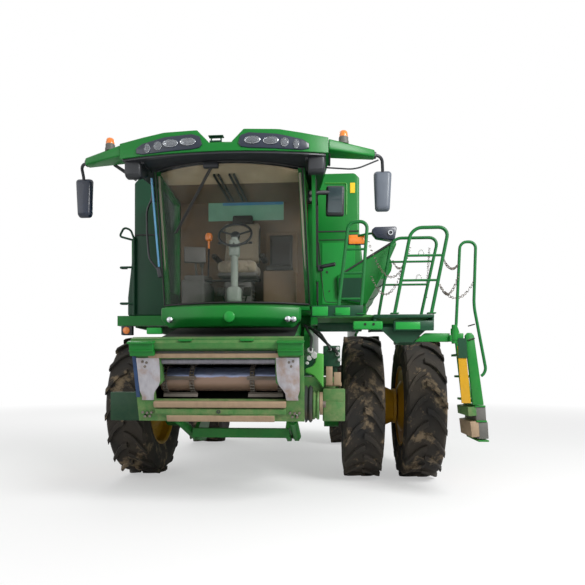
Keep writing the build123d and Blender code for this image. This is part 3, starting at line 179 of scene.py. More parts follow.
tyreRubber = dirtyRubber("tyreRubber", {"rubber": "#0B0D0F", "mud": "#85735A", "patch": 3.4, "edge": 0.53})


def steel(name, look):
    # bare or plated steel: streaks along the grain, a film of dust or rust in patches
    material, tree, shader, where = newMaterial(name)
    stretch = addNode(tree, "ShaderNodeMapping", {"Scale": look["grain"]}, {"Vector": where})
    streaks = noise(tree, stretch.outputs[0], 9.0, 7.0, 0.65)
    stain = noise(tree, where, 4.5, 7.0, 0.6)
    film = ranged(tree, stain, look["edge"], look["edge"] + 0.18, high=look["cover"])
    if "below" in look:
        # what faces down takes the film's tan below a ragged line
        ragged = addNode(tree, "ShaderNodeVectorMath", {"operation": "DOT_PRODUCT", 1: (0, 0.3, 1)},
            {0: addNode(tree, "ShaderNodeNewGeometry").outputs["Normal"]})
        under = maths(tree, "MULTIPLY_ADD", stain, 0.5, ragged.outputs["Value"])
        lower = ranged(tree, under, look["below"] + 0.12, look["below"], high=0.9)
        film = maths(tree, "MAXIMUM", film, lower)
    metal = blended(tree, streaks, look["dark"], look["light"])
    painted(tree, shader, blended(tree, film, metal, look["film"]), streaks, 0.15, 0.002)
    bare = ranged(tree, film, 0.0, 1.0, look["metal"], 0.1)
    tree.links.new(bare, shader.inputs["Metallic"])
    rough = ranged(tree, streaks, 0.0, 1.0, look["rough"], look["rough"] + 0.3)
    tree.links.new(rough, shader.inputs["Roughness"])
    return material


wornSteel = steel("wornSteel", {"dark": "#8B8990", "light": "#C3C1C6", "film": "#8A6A4E", "grain": (3, 1, 1),
    "edge": 0.52, "cover": 0.75, "metal": 0.75, "rough": 0.3})
dustySill = steel("dustySill", {"dark": "#83705A", "light": "#A89075", "film": "#6E543E", "grain": (3, 1, 1),
    "edge": 0.55, "cover": 0.5, "metal": 0.25, "rough": 0.5})
chainSteel = steel("chainSteel", {"dark": "#5C5650", "light": "#8D857C", "film": "#6B5138",
    "grain": (1, 1, 1), "edge": 0.5, "cover": 0.6, "metal": 0.7, "rough": 0.4})
zincPlate = steel("zincPlate", {"dark": "#A2A3A0", "light": "#C8C9C6", "film": "#8B8064", "grain": (1, 1, 1),
    "edge": 0.62, "cover": 0.35, "metal": 0.85, "rough": 0.32})
chromeRod = steel("chromeRod", {"dark": "#C9CACC", "light": "#E6E7E8", "film": "#8B8064", "grain": (1, 1, 6),
    "edge": 0.72, "cover": 0.3, "metal": 1.0, "rough": 0.08})
# the drum's blue-silver is a painted reflection of the sky on its bare steel
drumSteel = steel("drumSteel", {"dark": "#7280A6", "light": "#B4BEDC", "film": "#8E6F52", "grain": (1, 4, 4),
    "edge": 0.6, "cover": 0.5, "metal": 0.8, "rough": 0.22, "below": 0.1})
# dark blue for the feeder's side strip on the shaded side: painted shade
shadedStripBlue = steel("shadedStripBlue", {"dark": "#1B2C46", "light": "#34507A", "film": "#55503F", "grain": (1, 1, 1),
    "edge": 0.58, "cover": 0.5, "metal": 0.4, "rough": 0.35})
guideSteel = steel("guideSteel", {"dark": "#55545C", "light": "#9A98A0", "film": "#6C5A48",
    "grain": (3, 1, 1), "edge": 0.6, "cover": 0.5, "metal": 0.6, "rough": 0.35})
# near-black for the feeder's throat and for holes: painted shade
paintedShadeBlack = steel("paintedShadeBlack", {"dark": "#0B0D0B", "light": "#171A16", "film": "#2A241B",
    "grain": (1, 1, 1), "edge": 0.5, "cover": 0.5, "metal": 0.1, "rough": 0.7})
castIron = steel("castIron", {"dark": "#2A2E2B", "light": "#3D423E", "film": "#54472F", "grain": (1, 1, 1),
    "edge": 0.5, "cover": 0.5, "metal": 0.3, "rough": 0.6})


def cabGlass(name, look):
    # faintly tinted glass with a little dust; it is less clear when seen edge-on
    material, tree, shader, where = newMaterial(name)
    rim = addNode(tree, "ShaderNodeLayerWeight", {"Blend": 0.35}).outputs["Fresnel"]
    body = ranged(tree, noise(tree, where, 3.0, 6.0), 0.35, 0.8, look["clear"], look["clear"] + 0.16)
    opacity = maths(tree, "ADD", body, maths(tree, "MULTIPLY", rim, look["edge"]), clamp=True)
    tree.links.new(opacity, shader.inputs["Alpha"])
    setInputs(shader, {"Base Color": hexColour(look["tint"]), "Roughness": 0.04, "Specular IOR Level": 0.9})
    return material


windowGlass = cabGlass("windowGlass", {"tint": "#2E3A33", "clear": 0.03, "edge": 0.3})
lampGlass = cabGlass("lampGlass", {"tint": "#B9BEC4", "clear": 0.18, "edge": 0.6})


def plastic(name, look):
    # moulded plastic with a fine spark-eroded grain, drawn at 2 mm so that it shows
    material, tree, shader, where = newMaterial(name)
    colour = blended(tree, noise(tree, where, 5.0, 5.0), look["dark"], look["light"])
    grain = addNode(tree, "ShaderNodeTexVoronoi", {"Scale": 480.0}, {"Vector": where})
    painted(tree, shader, colour, grain.outputs["Distance"], look["grain"], 0.001)
    # glow gives a plastic light of its own colour; none of the glowing parts is a lit lamp, so this is
    # painted light
    setInputs(shader, {"Roughness": look["rough"], "Coat Weight": look.get("coat", 0.0),
        "Emission Color": hexColour(look["light"]), "Emission Strength": look.get("glow", 0.0)})
    return material


blackPlastic = plastic("blackPlastic", {"dark": "#15171B", "light": "#25282D", "grain": 0.2, "rough": 0.48,
    "coat": 0.1})
greyPlastic = plastic("greyPlastic", {"dark": "#4B4A46", "light": "#66645E", "grain": 0.2, "rough": 0.55})
# the amber glows a little, also on the hazard knob and the reflector: painted light
amberPlastic = plastic("amberPlastic", {"dark": "#C85F12", "light": "#EE8A2A", "grain": 0.0, "rough": 0.2,
    "coat": 0.5, "glow": 0.12})
yellowLabel = plastic("yellowLabel", {"dark": "#E3B80E", "light": "#F2C81D", "grain": 0.0, "rough": 0.4,
    "coat": 0.2})
navyPlastic = plastic("navyPlastic", {"dark": "#0A1322", "light": "#16243A", "grain": 0.1, "rough": 0.35,
    "coat": 0.3})
# a paler grey for the mirror housing on the lit side: painted light
litMirrorGrey = plastic("litMirrorGrey", {"dark": "#4C535D", "light": "#626A75", "grain": 0.2, "rough": 0.45,
    "coat": 0.1})
paleTrim = plastic("paleTrim", {"dark": "#A9A38C", "light": "#C9C3AA", "grain": 0.1, "rough": 0.6})
# a pale, faintly glowing pane: painted daylight coming through the rear window
paintedDaylightPane = plastic("paintedDaylightPane", {"dark": "#5F9A80", "light": "#86BCA0", "grain": 0.0, "rough": 0.2,
    "coat": 0.4, "glow": 0.12})
# blue plates with a little glow: painted sky, reflected in and seen through the cab glass
paintedSkyGlow = plastic("paintedSkyGlow", {"dark": "#3C7298", "light": "#5A9CC2", "grain": 0.0, "rough": 0.15,
    "coat": 0.6, "glow": 0.1})
greyPane = plastic("greyPane", {"dark": "#2E3B40", "light": "#4A5A5F", "grain": 0.0, "rough": 0.18,
    "coat": 0.6})
hoseRubber = plastic("hoseRubber", {"dark": "#121212", "light": "#1F1F1F", "grain": 0.1, "rough": 0.6})


def seatFabric():
    # woven seat cloth, 6 mm ribs drawn in both directions
    material, tree, shader, where = newMaterial("seatCloth")
    ribs = addNode(tree, "ShaderNodeTexWave", {"Scale": 52.0, "Distortion": 0.6, "Detail": 1.0},
        {"Vector": where})
    cross = addNode(tree, "ShaderNodeTexWave", {"bands_direction": "Z", "Scale": 52.0, "Distortion": 0.6},
        {"Vector": where})
    weave = maths(tree, "MULTIPLY", ribs.outputs["Fac"], cross.outputs["Fac"])
    painted(tree, shader, blended(tree, weave, "#8F8470", "#CBBEA6"), weave, 0.35, 0.002)
    setInputs(shader, {"Roughness": 0.9, "Sheen Weight": 0.3})
    return material


seatCloth = seatFabric()

brownTrim = plastic("brownTrim", {"dark": "#5F4F3D", "light": "#80694F", "grain": 0.2, "rough": 0.7})
tanLining = plastic("tanLining", {"dark": "#BBA684", "light": "#DCC9A6", "grain": 0.15, "rough": 0.85})
columnPaint = plastic("columnPaint", {"dark": "#7F8A80", "light": "#B4BEB2", "grain": 0.1, "rough": 0.5,
    "coat": 0.1})
darkCloth = plastic("darkSeatLeather", {"dark": "#26231F", "light": "#3B3731", "grain": 0.35, "rough": 0.6,
    "coat": 0.05})
lampReflector = steel("lampReflector", {"dark": "#A9AEB4", "light": "#DADDE0", "film": "#8B8B84",
    "grain": (1, 1, 1), "edge": 0.8, "cover": 0.1, "metal": 0.9, "rough": 0.12})

# each slot's finishes, the one for the CAD nodes first
families = {
    "green_paint": (greenEnamel, litGreen, railGreen, darkGreenAndShade, dustyGreen, limeGreen),
    "yellow_paint": (yellowEnamel, yellowLabel), "tyre": (tyreRubber,),
    "dark_steel": (blackEnamel, chainSteel, paintedShadeBlack), "cast_iron": (castIron, guideSteel),
    "tinted_glass": (windowGlass, paintedSkyGlow, paintedDaylightPane), "lamp_glass": (lampGlass, lampReflector),
    "amber_plastic": (amberPlastic,), "seat_cloth": (seatCloth, tanLining, darkCloth),
    "black_plastic": (blackPlastic, greyPlastic, navyPlastic, litMirrorGrey, hoseRubber, brownTrim, columnPaint,
        paleTrim),
    "worn_steel": (wornSteel, zincPlate, drumSteel, dustySill), "chrome_rod": (chromeRod, greyPane),
}
slotOf = {material.name: slot for slot, group in families.items() for material in group}
for part in frame["record"]["subparts"]:
    for materialSlot in nodes[part["node"]].material_slots:
        materialSlot.material = families[part["material_slot"]][0]
print("materials:", len(bpy.data.materials))

# ---- hand tools

def deselect():
    if bpy.context.object and bpy.context.object.mode != "OBJECT":
        bpy.ops.object.mode_set(mode="OBJECT")
    bpy.ops.object.select_all(action="DESELECT")


def pick(piece):
    deselect()
    piece.select_set(True)
    bpy.context.view_layer.objects.active = piece


def openMesh(piece):
    pick(piece)
    bpy.ops.object.mode_set(mode="EDIT")
    bpy.ops.mesh.select_all(action="SELECT")


def closeMesh():
    bpy.ops.object.mode_set(mode="OBJECT")


def settle(piece):
    pick(piece)
    bpy.ops.object.transform_apply(location=True, rotation=True, scale=True)
    return piece


def startBox(name, centre, size, turn=(0, 0, 0)):
    deselect()
    bpy.ops.mesh.primitive_cube_add(size=1, location=place(*centre), rotation=turn)
    piece = bpy.context.object
    piece.name = name
    piece.scale = size
    return settle(piece)


def startRound(name, centre, radius, depth, sides, turn=(0, 0, 0)):
    deselect()
    bpy.ops.mesh.primitive_cylinder_add(vertices=sides, radius=radius, depth=depth, location=place(*centre),
        rotation=turn)
    piece = bpy.context.object
    piece.name = name
    return settle(piece)


def chooseFaces(piece, test):
    pick(piece)
    bpy.ops.object.mode_set(mode="EDIT")
    bpy.ops.mesh.select_mode(type="FACE")
    bpy.ops.mesh.select_all(action="DESELECT")
    closeMesh()
    for face in piece.data.polygons:
        face.select = test(face.center + machineMiddle, face.normal)
    bpy.ops.object.mode_set(mode="EDIT")


def cleanUp(piece):
    pick(piece)
    bpy.ops.object.mode_set(mode="EDIT")
    bpy.ops.mesh.select_mode(type="VERT")
    bpy.ops.mesh.select_all(action="SELECT")
    bpy.ops.mesh.remove_doubles(threshold=0.0002)
    bpy.ops.mesh.normals_make_consistent(inside=False)
    closeMesh()


def bisected(piece, point, normal, **kept):
    openMesh(piece)
    bpy.ops.mesh.bisect(plane_co=place(*point), plane_no=normal, **kept)
    closeMesh()


def withModifier(piece, kind, **values):
    pick(piece)
    modifier = piece.modifiers.new(kind.lower(), kind)
    for key, value in values.items():
        setattr(modifier, key, value)
    bpy.ops.object.modifier_apply(modifier=modifier.name)
    return piece


def rounded(piece, width, steps=2, angle=35):
    return withModifier(piece, "BEVEL", width=width, segments=steps, limit_method="ANGLE",
        angle_limit=math.radians(angle), use_clamp_overlap=True)


def softBox(name, centre, size, width, steps=2, angle=35, turn=(0, 0, 0)):
    return rounded(startBox(name, centre, size, turn), width, steps, angle)


def finished(piece, material, body="chassis", slot=None, angle=38):
    pick(piece)
    bpy.ops.object.shade_smooth_by_angle(angle=math.radians(angle))
    piece.data.materials.clear()
    piece.data.materials.append(material)
    slot = slot or slotOf[material.name]
    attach(piece, body)
    return piece


def joined(pieces, name):
    deselect()
    for piece in pieces:
        piece.select_set(True)
    bpy.context.view_layer.objects.active = pieces[0]
    bpy.ops.object.join()
    pieces[0].name = name
    return pieces[0]


def drawnLine(name, points):
    # one vertex, extruded from point to point
    deselect()
    bpy.ops.mesh.primitive_plane_add(size=0.01, location=points[0])
    line = settle(bpy.context.object)
    line.name = name
    bpy.ops.object.mode_set(mode="EDIT")
    bpy.ops.mesh.select_mode(type="VERT")
    bpy.ops.mesh.select_all(action="SELECT")
    bpy.ops.mesh.merge(type="CENTER")
    for start, end in zip(points, points[1:]):
        bpy.ops.mesh.extrude_region_move(TRANSFORM_OT_translate={"value": Vector(end) - Vector(start)})
    closeMesh()
    return line


def bentBar(name, points, radius, bend=0.0, sides=3):
    # round bar through machine places, its corners bent
    line = drawnLine(name, [place(*point) for point in points])
    if bend:
        ends = [0] * len(line.data.vertices)
        for edge in line.data.edges:
            for vertex in edge.vertices:
                ends[vertex] += 1
        for count, vertex in zip(ends, line.data.vertices):
            vertex.select = count == 2
        bpy.ops.object.mode_set(mode="EDIT")
        bpy.ops.mesh.bevel(offset=bend, segments=6, affect="VERTICES")
        closeMesh()
    pick(line)
    bpy.ops.object.convert(target="CURVE")
    line.data.bevel_depth = radius
    line.data.bevel_resolution = sides
    line.data.use_fill_caps = True
    bpy.ops.object.convert(target="MESH")
    return bpy.context.object


def spunShape(name, profile, centre, steps, axis=(1, 0, 0), closed=True):
    # profile as (along the axis, radius) pairs, spun about the axis through the centre
    middle = place(*centre)
    along = Vector(axis)
    out = Vector((0, 0, 1)) if abs(along.z) < 0.5 else Vector((0, 1, 0))
    if closed:
        profile = [*profile, profile[0]]
    line = drawnLine(name, [middle + along * a + out * r for a, r in profile])
    bpy.ops.object.mode_set(mode="EDIT")
    bpy.ops.mesh.select_all(action="SELECT")
    bpy.ops.mesh.spin(steps=steps, angle=2 * math.pi, center=middle, axis=along)
    closeMesh()
    cleanUp(line)
    return line


def copiedAround(piece, count, centre):
    # the whole mesh repeated evenly about an axis across the machine
    openMesh(piece)
    bpy.ops.mesh.spin(steps=count - 1, dupli=True, angle=2 * math.pi * (count - 1) / count,
        center=place(*centre), axis=(1, 0, 0))
    closeMesh()
    return piece


def softened(node, name, width, steps=2):
    # a CAD node's shape with its edges rounded
    source = nodes[node]
    pick(source)
    bpy.ops.object.duplicate(linked=False)
    copy = bpy.context.object
    copy.name = name
    for key in list(copy.keys()):
        del copy[key]
    cleanUp(copy)
    openMesh(copy)
    bpy.ops.mesh.dissolve_limited(angle_limit=math.radians(1.0))
    closeMesh()
    rounded(copy, width, steps, 25)
    return copy


# ---- wheels

# half is half a tyre's width, rimHalf half its rim's, turn the angle a lug takes up
frontWheel = {"radius": 0.975, "half": 0.264, "rim": 0.533, "rimHalf": 0.2285, "lugs": 18, "lug": 0.046,
    "turn": 0.082}
rearWheel = {"radius": 0.8, "half": 0.35, "rim": 0.33, "rimHalf": 0.305, "lugs": 16, "lug": 0.046,
    "turn": 0.094}
# distances of the wheels' middles from the machine's middle, and of the rear ones from the front axle
innerX, outerX, rearX, wheelbase = 1.524, 2.286, 1.43, 3.6


def tyre(name, size, centre):
    carcass = size["radius"] - size["lug"]
    half, rim = size["half"], size["rim"]
    wall = carcass - rim
    side = [(size["rimHalf"] - 0.045, rim), (size["rimHalf"] - 0.022, rim + 0.012),
        (size["rimHalf"] - 0.006, rim + 0.03), (half - 0.036, rim + 0.16 * wall),
        (half - 0.028, rim + 0.19 * wall), (half - 0.012, rim + 0.34 * wall), (half, rim + 0.52 * wall),
        (half - 0.002, rim + 0.66 * wall), (half - 0.014, rim + 0.82 * wall),
        (half - 0.02, rim + 0.92 * wall), (half - 0.05, carcass - 0.006)]
    profile = [(-a, r) for a, r in side] + [(0, carcass + 0.004)] + [(a, r) for a, r in reversed(side)]
    carcassPiece = spunShape(name, profile, centre, 72)
    lugs = []
    for row in (1, -1):
        phase = math.pi / size["lugs"] * (row < 0)
        line = []
        # a lug leaves the middle, curves back and ends over the shoulder, as (share of width, turn)
        for across, turn in ((-0.03, 0.085), (0.25, 0.062), (0.5, 0.02), (0.75, -0.05), (0.93, -0.105)):
            angle = turn * 1.6 + phase
            reach = carcass - 0.02
            line.append(place(*centre) + Vector((row * across * half, reach * math.sin(angle),
                reach * math.cos(angle))))
        lug = drawnLine(name + "Lug", line)
        openMesh(lug)
        bpy.ops.mesh.spin(steps=1, angle=size["turn"], center=place(*centre), axis=(1, 0, 0))
        bpy.ops.mesh.select_all(action="SELECT")
        bpy.ops.mesh.extrude_region_move()
        lift = (size["radius"] - 0.004) / reach
        bpy.ops.transform.resize(value=(0.97, lift, lift), center_override=place(*centre))
        closeMesh()
        cleanUp(lug)
        rounded(lug, 0.006, 1, 40)
        lugs.append(copiedAround(lug, size["lugs"], centre))
    return joined([carcassPiece, *lugs], name)


rimLook = {"wall": 0.014, "bolt": 0.016, "boltHeight": 0.022, "ring": 0.205}


def rimBarrel(name, size, centre):
    radius, half, wall = size["rim"], size["rimHalf"], rimLook["wall"]
    lip = radius + 0.024
    return spunShape(name, [(-half, lip), (-half + 0.012, lip), (-half + 0.03, radius),
        (-half + 0.12, radius - 0.004), (-half + 0.16, radius - 0.03), (half - 0.16, radius - 0.03),
        (half - 0.12, radius - 0.004), (half - 0.03, radius), (half - 0.012, lip), (half, lip),
        (half, lip - 0.01), (half - 0.026, radius - wall), (half - 0.115, radius - wall - 0.004),
        (half - 0.155, radius - wall - 0.03), (-half + 0.155, radius - wall - 0.03),
        (-half + 0.115, radius - wall - 0.004), (-half + 0.026, radius - wall), (-half, lip - 0.01)], centre,
        64)


def boltRing(name, count, ring, centre):
    size, length = rimLook["bolt"], rimLook["boltHeight"]
    x, y, z = centre
    bolt = startRound(name, (x, y, z + ring), size, length, 6, lyingAcross)
    washer = startRound(name + "Washer", (x, y, z + ring), size * 1.35, length * 0.4, 14, lyingAcross)
    rounded(bolt, size * 0.18, 1)
    return copiedAround(joined([bolt, washer], name), count, centre)


def frontRim(name, side, x):
    # dished disc inside a barrel; the twin's outer rim is bolted on the other way round
    centre = (side * x, 0, frontWheel["radius"])
    barrel = rimBarrel(name, frontWheel, centre)
    disc = spunShape(name + "Disc", [(side * a, r) for a, r in ((-0.099, 0.506), (-0.099, 0.36),
        (-0.112, 0.335), (-0.178, 0.245), (-0.189, 0.225), (-0.189, 0.09), (-0.175, 0.09), (-0.175, 0.222),
        (-0.166, 0.238), (-0.098, 0.33), (-0.085, 0.352), (-0.085, 0.506))], centre, 64)
    hub = spunShape(name + "Hub", [(side * a, r) for a, r in ((-0.176, 0.17), (-0.15, 0.165), (-0.142, 0.12),
        (-0.11, 0.115), (-0.1, 0.09), (-0.1, 0.0), (-0.176, 0.0))], centre, 40, closed=False)
    return joined([barrel, disc, hub], name)


for name, x, body in (("frontTyreRight", -innerX, "front_right_wheel"),
    ("frontTyreInner", innerX, "front_left_twin_wheel"), ("frontTyreOuter", outerX, "front_left_twin_wheel")):
    rubber = tyre(name, frontWheel, (x, 0, frontWheel["radius"]))
    finished(rubber, tyreRubber, body, angle=32)
    if name == "frontTyreRight":
        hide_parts("tyre_front_right")
    elif name == "frontTyreInner":
        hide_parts("tyres_front_left")

rimRight = frontRim("frontRimRight", -1, innerX)
finished(rimRight, yellowEnamel, "front_right_wheel", angle=30)
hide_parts("rim_front_right")
finished(boltRing("frontBoltsRight", 10, rimLook["ring"], (0.166 - innerX, 0, frontWheel["radius"])),
    zincPlate, "front_right_wheel", angle=30)

rimInner = frontRim("frontRimInner", 1, innerX)
outerCentre = (outerX, 0, frontWheel["radius"])
outerBarrel = rimBarrel("frontRimOuter", frontWheel, outerCentre)
outerDisc = spunShape("outerDisc", [(-0.27, 0.25), (-0.27, 0.0), (-0.256, 0.0), (-0.256, 0.235),
    (-0.196, 0.34), (-0.196, 0.506), (-0.21, 0.506), (-0.21, 0.352)], outerCentre, 64)
spacer = spunShape("twinSpacer", [(0.19, 0.32), (0.2, 0.332), (0.215, 0.32), (0.425, 0.222), (0.436, 0.24),
    (0.47, 0.24), (0.478, 0.222), (0.478, 0.205), (0.43, 0.2), (0.2, 0.305), (-0.17, 0.15), (-0.17, 0.165)],
    (innerX, 0, frontWheel["radius"]), 48)
rimTwin = joined([rimInner, outerBarrel, outerDisc, spacer], "frontRimsLeft")
finished(rimTwin, yellowEnamel, "front_left_twin_wheel", angle=30)
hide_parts("rims_front_left")
finished(joined([boltRing("outerBolts", 12, 0.225, (outerX - 0.247, 0, frontWheel["radius"])),
    boltRing("innerBolts", 10, rimLook["ring"], (innerX - 0.166, 0, frontWheel["radius"]))],
    "frontBoltsLeft"), zincPlate, "front_left_twin_wheel", angle=30)
hubCap = spunShape("outerHubCap", [(-0.256, 0.17), (-0.2, 0.162), (-0.19, 0.14), (-0.16, 0.13), (-0.15, 0.1),
    (-0.15, 0.0), (-0.256, 0.0)], outerCentre, 40, closed=False)
finished(hubCap, yellowEnamel, "front_left_twin_wheel", angle=30)

for name, side, body in (("rearTyreLeft", 1, "rear_left_wheel"), ("rearTyreRight", -1, "rear_right_wheel")):
    centre = (side * rearX, wheelbase, rearWheel["radius"])
    rubber = tyre(name, rearWheel, centre)
    finished(rubber, tyreRubber, body, angle=32)
    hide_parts("tyre_rear_" + body.split("_")[1])
    rimName = name.replace("Tyre", "Rim")
    barrel = rimBarrel(rimName, rearWheel, centre)
    disc = spunShape(rimName + "Disc", [(side * a, r) for a, r in ((-0.16, 0.302), (-0.16, 0.235),
        (-0.205, 0.18), (-0.22, 0.165), (-0.22, 0.0), (-0.206, 0.0), (-0.206, 0.16), (-0.193, 0.175),
        (-0.146, 0.23), (-0.146, 0.302))], centre, 56)
    hub = spunShape(rimName + "Hub", [(side * a, r) for a, r in ((-0.207, 0.11), (-0.12, 0.1), (-0.11, 0.08),
        (-0.09, 0.075), (-0.085, 0.0), (-0.207, 0.0))], centre, 36, closed=False)
    steelwork = joined([barrel, disc, hub], rimName)
    finished(steelwork, yellowEnamel, body, angle=30)
    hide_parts("rim_rear_" + body.split("_")[1])
    finished(boltRing(name.replace("Tyre", "Bolts"), 8, 0.135,
        (side * (rearX - 0.197), wheelbase, rearWheel["radius"])), zincPlate, body, angle=30)
print("wheels done")

# ---- rails, rungs and their chains

def footPlate(name, centre):
    return softBox(name, centre, (0.09, 0.07, 0.012), 0.003, 1)


railTube = 0.019
nearY, farY, hoopY = -1.77, -0.95, -1.72
railSets = {
    "nearRail": {"y": nearY, "route": ((1.785, 2.068), (1.965, 2.99), (2.36, 2.99), (2.175, 2.068)),
        "bend": 0.11, "levels": (2.425, 2.69)},
    "farRail": {"y": farY, "route": ((1.675, 2.068), (1.85, 3.08), (2.405, 3.08), (2.185, 2.068)),
        "bend": 0.11, "levels": (2.51, 2.79)},
    "hoopRail": {"y": hoopY, "route": ((1.175, 2.068), (1.295, 3.08), (1.5, 3.08), (1.425, 2.068)),
        "bend": 0.08, "levels": (2.24, 2.52, 2.78)},
}


def leaning(foot, head, z):
    return foot[0] + (head[0] - foot[0]) * (z - foot[1]) / (head[1] - foot[1])


bars = []
for name, rail in railSets.items():
    y, route = rail["y"], rail["route"]
    bars.append(bentBar(name, [(x, y, z) for x, z in route], railTube, rail["bend"]))
    for z in rail["levels"]:
        bars.append(bentBar(name + "Bar", [(leaning(route[0], route[1], z), y, z),
            (leaning(route[3], route[2], z), y, z)], 0.013))
    for x in (route[0][0], route[3][0]):
        bars.append(footPlate(name + "Foot", (x, y, 2.072)))
railPiece = joined(bars, "handRails")
finished(railPiece, railGreen)
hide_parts("hand_rails")

rungX, rungY = -1.455, -0.75
rungBars = [bentBar("rungPost", [(rungX, rungY, 2.185), (rungX, rungY, 3.2)], 0.018), bentBar("rungLoop",
    [(rungX, rungY, 3.16), (rungX - 0.195, rungY, 3.215), (rungX - 0.135, rungY, 3.33),
    (rungX - 0.045, rungY, 3.3), (rungX, rungY, 3.18)], 0.014, 0.035)]
for z in (2.34, 2.81):
    rungBars.append(bentBar("rung", [(rungX, rungY, z), (-1.64, rungY, z), (-1.64, -0.69, z),
        (-1.568, -0.69, z)], 0.014, 0.022))
rungPiece = joined(rungBars, "sideRungs")
finished(rungPiece, darkGreenAndShade)
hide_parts("side_rungs")

ladderRail = bentBar("ladderRail", [(2.437, -1.76, 1.936), (2.477, -1.76, 2.83), (2.642, -1.76, 2.83),
    (2.622, -1.76, 2.15), (2.755, -1.76, 1.43), (2.7, -1.76, 1.4)], 0.016, 0.07)
finished(ladderRail, railGreen, "ladder")
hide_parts("ladder_handrail")
print("rails done")

# ---- cab

def plateOf(name, corners, thickness):
    # flat plate through machine places, given its thickness as a direction
    plate = drawnLine(name, [place(*corner) for corner in [*corners, corners[0]]])
    openMesh(plate)
    bpy.ops.mesh.remove_doubles(threshold=0.0005)
    bpy.ops.mesh.select_all(action="SELECT")
    bpy.ops.mesh.edge_face_add()
    bpy.ops.mesh.extrude_region_move(TRANSFORM_OT_translate={"value": thickness})
    closeMesh()
    cleanUp(plate)
    return plate


def facingPlate(name, y, depth, outline):
    # a plate seen from the front: its outline as (x, z), its thickness going back
    return plateOf(name, [(x, y, z) for x, z in outline], (0, depth, 0))


cab = {
    "glassLow": 2.226, "glassTop": 3.619, "halfLow": 0.857, "halfTop": 0.8, "edgeLow": -1.372,
    "edgeTop": -1.889, "bulge": 0.245, "strips": 24, "glass": 0.008, "seal": 0.011,
}


def glassShare(z):
    return (z - cab["glassLow"]) / (cab["glassTop"] - cab["glassLow"])


def glassEdgeAt(z):
    # where the leaning glass's side edges are along y, at a height
    return cab["edgeLow"] + (cab["edgeTop"] - cab["edgeLow"]) * glassShare(z)


def bowRow(z, inset=0.0, back=0.0):
    # points along the windshield's bow at a height
    half = cab["halfLow"] + (cab["halfTop"] - cab["halfLow"]) * glassShare(z) - inset
    edge = glassEdgeAt(z) + back
    radius = (half ** 2 + cab["bulge"] ** 2) / (2 * cab["bulge"])
    spread = math.asin(half / radius)
    row = []
    for step in range(cab["strips"] + 1):
        angle = spread * (2 * step / cab["strips"] - 1)
        row.append((radius * math.sin(angle), edge - cab["bulge"] + radius * (1 - math.cos(angle)), z))
    return row


lowRow, topRow = bowRow(cab["glassLow"]), bowRow(cab["glassTop"])
windscreen = drawnLine("windscreen", [place(*point) for point in lowRow])
rise = place(*topRow[0]) - place(*lowRow[0])
openMesh(windscreen)
bpy.ops.mesh.extrude_region_move(TRANSFORM_OT_translate={"value": (0, rise.y, rise.z)})
bpy.ops.transform.resize(value=(cab["halfTop"] / cab["halfLow"], 1, 1), center_override=place(0, 0, 0))
closeMesh()
cleanUp(windscreen)
withModifier(windscreen, "SOLIDIFY", thickness=cab["glass"], offset=0)
finished(windscreen, windowGlass, angle=40)
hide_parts("windshield")

sealPoints = [*lowRow, *reversed(topRow), lowRow[0]]
glassSeal = bentBar("windscreenSeal", sealPoints, cab["seal"])
finished(glassSeal, hoseRubber)

# inner trim: brown back wall with its window, tan lining, struts under the ceiling
trim = [startBox("backTrim", (0, -0.838, 2.79), (1.62, 0.02, 1.14)),
    startBox("backTrimTop", (0, -0.838, 3.61), (1.62, 0.02, 0.03)),
    startBox("backTrimLeft", (0.66, -0.838, 3.48), (0.3, 0.02, 0.24)), startBox("backTrimRight",
    (-0.63, -0.838, 3.48), (0.36, 0.02, 0.24))]
finished(joined(trim, "backTrim"), brownTrim)
lining = plateOf("roofLining", [*bowRow(3.59, 0.03, 0.03), (0.8, -1.54, 3.59), (-0.8, -1.54, 3.59)],
    (0, 0, 0.02))
finished(lining, tanLining)
ceiling = startBox("rearCeiling", (0, -1.185, 3.6), (1.6, 0.7, 0.02))
finished(rounded(ceiling, 0.004, 1), brownTrim)
for index, x in enumerate((-0.16, -0.11, 0.01, 0.06)):
    strut = softBox(f"ceilingStrut{index}", (x, -1.42, 3.572), (0.022, 0.92, 0.024), 0.004, 1)
    finished(strut, blackEnamel)
# the rear window is an opaque glowing pane: painted light behind the cab
rearWindow = softBox("rearWindow", (0.03, -0.845, 3.48), (0.96, 0.006, 0.24), 0.002, 1)
finished(rearWindow, paintedDaylightPane)
# a strip of painted sky behind the rear window's top
skyStrip = softBox("skyStrip", (0.12, -0.85, 3.576), (0.77, 0.004, 0.042), 0.001, 1)
finished(skyStrip, paintedSkyGlow)
for side, word in bothSides:
    edgeTrim = bentBar("edgeTrim" + word, [(side * (cab["halfLow"] - 0.03), cab["edgeLow"] + 0.03, 2.25),
        (side * (cab["halfTop"] - 0.03), cab["edgeTop"] + 0.03, 3.58)], 0.014)
    finished(edgeTrim, paleTrim)
dashBar = bentBar("dashBar", [(-0.35, -1.5, 2.495), (0.265, -1.5, 2.488)], 0.012)
finished(dashBar, blackEnamel)

# door frame and the seal of its glass, which stays the CAD's own
doorPiece = softened("cab_door", "cabDoor", 0.006)
finished(doorPiece, greenEnamel, "door")
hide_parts("cab_door")


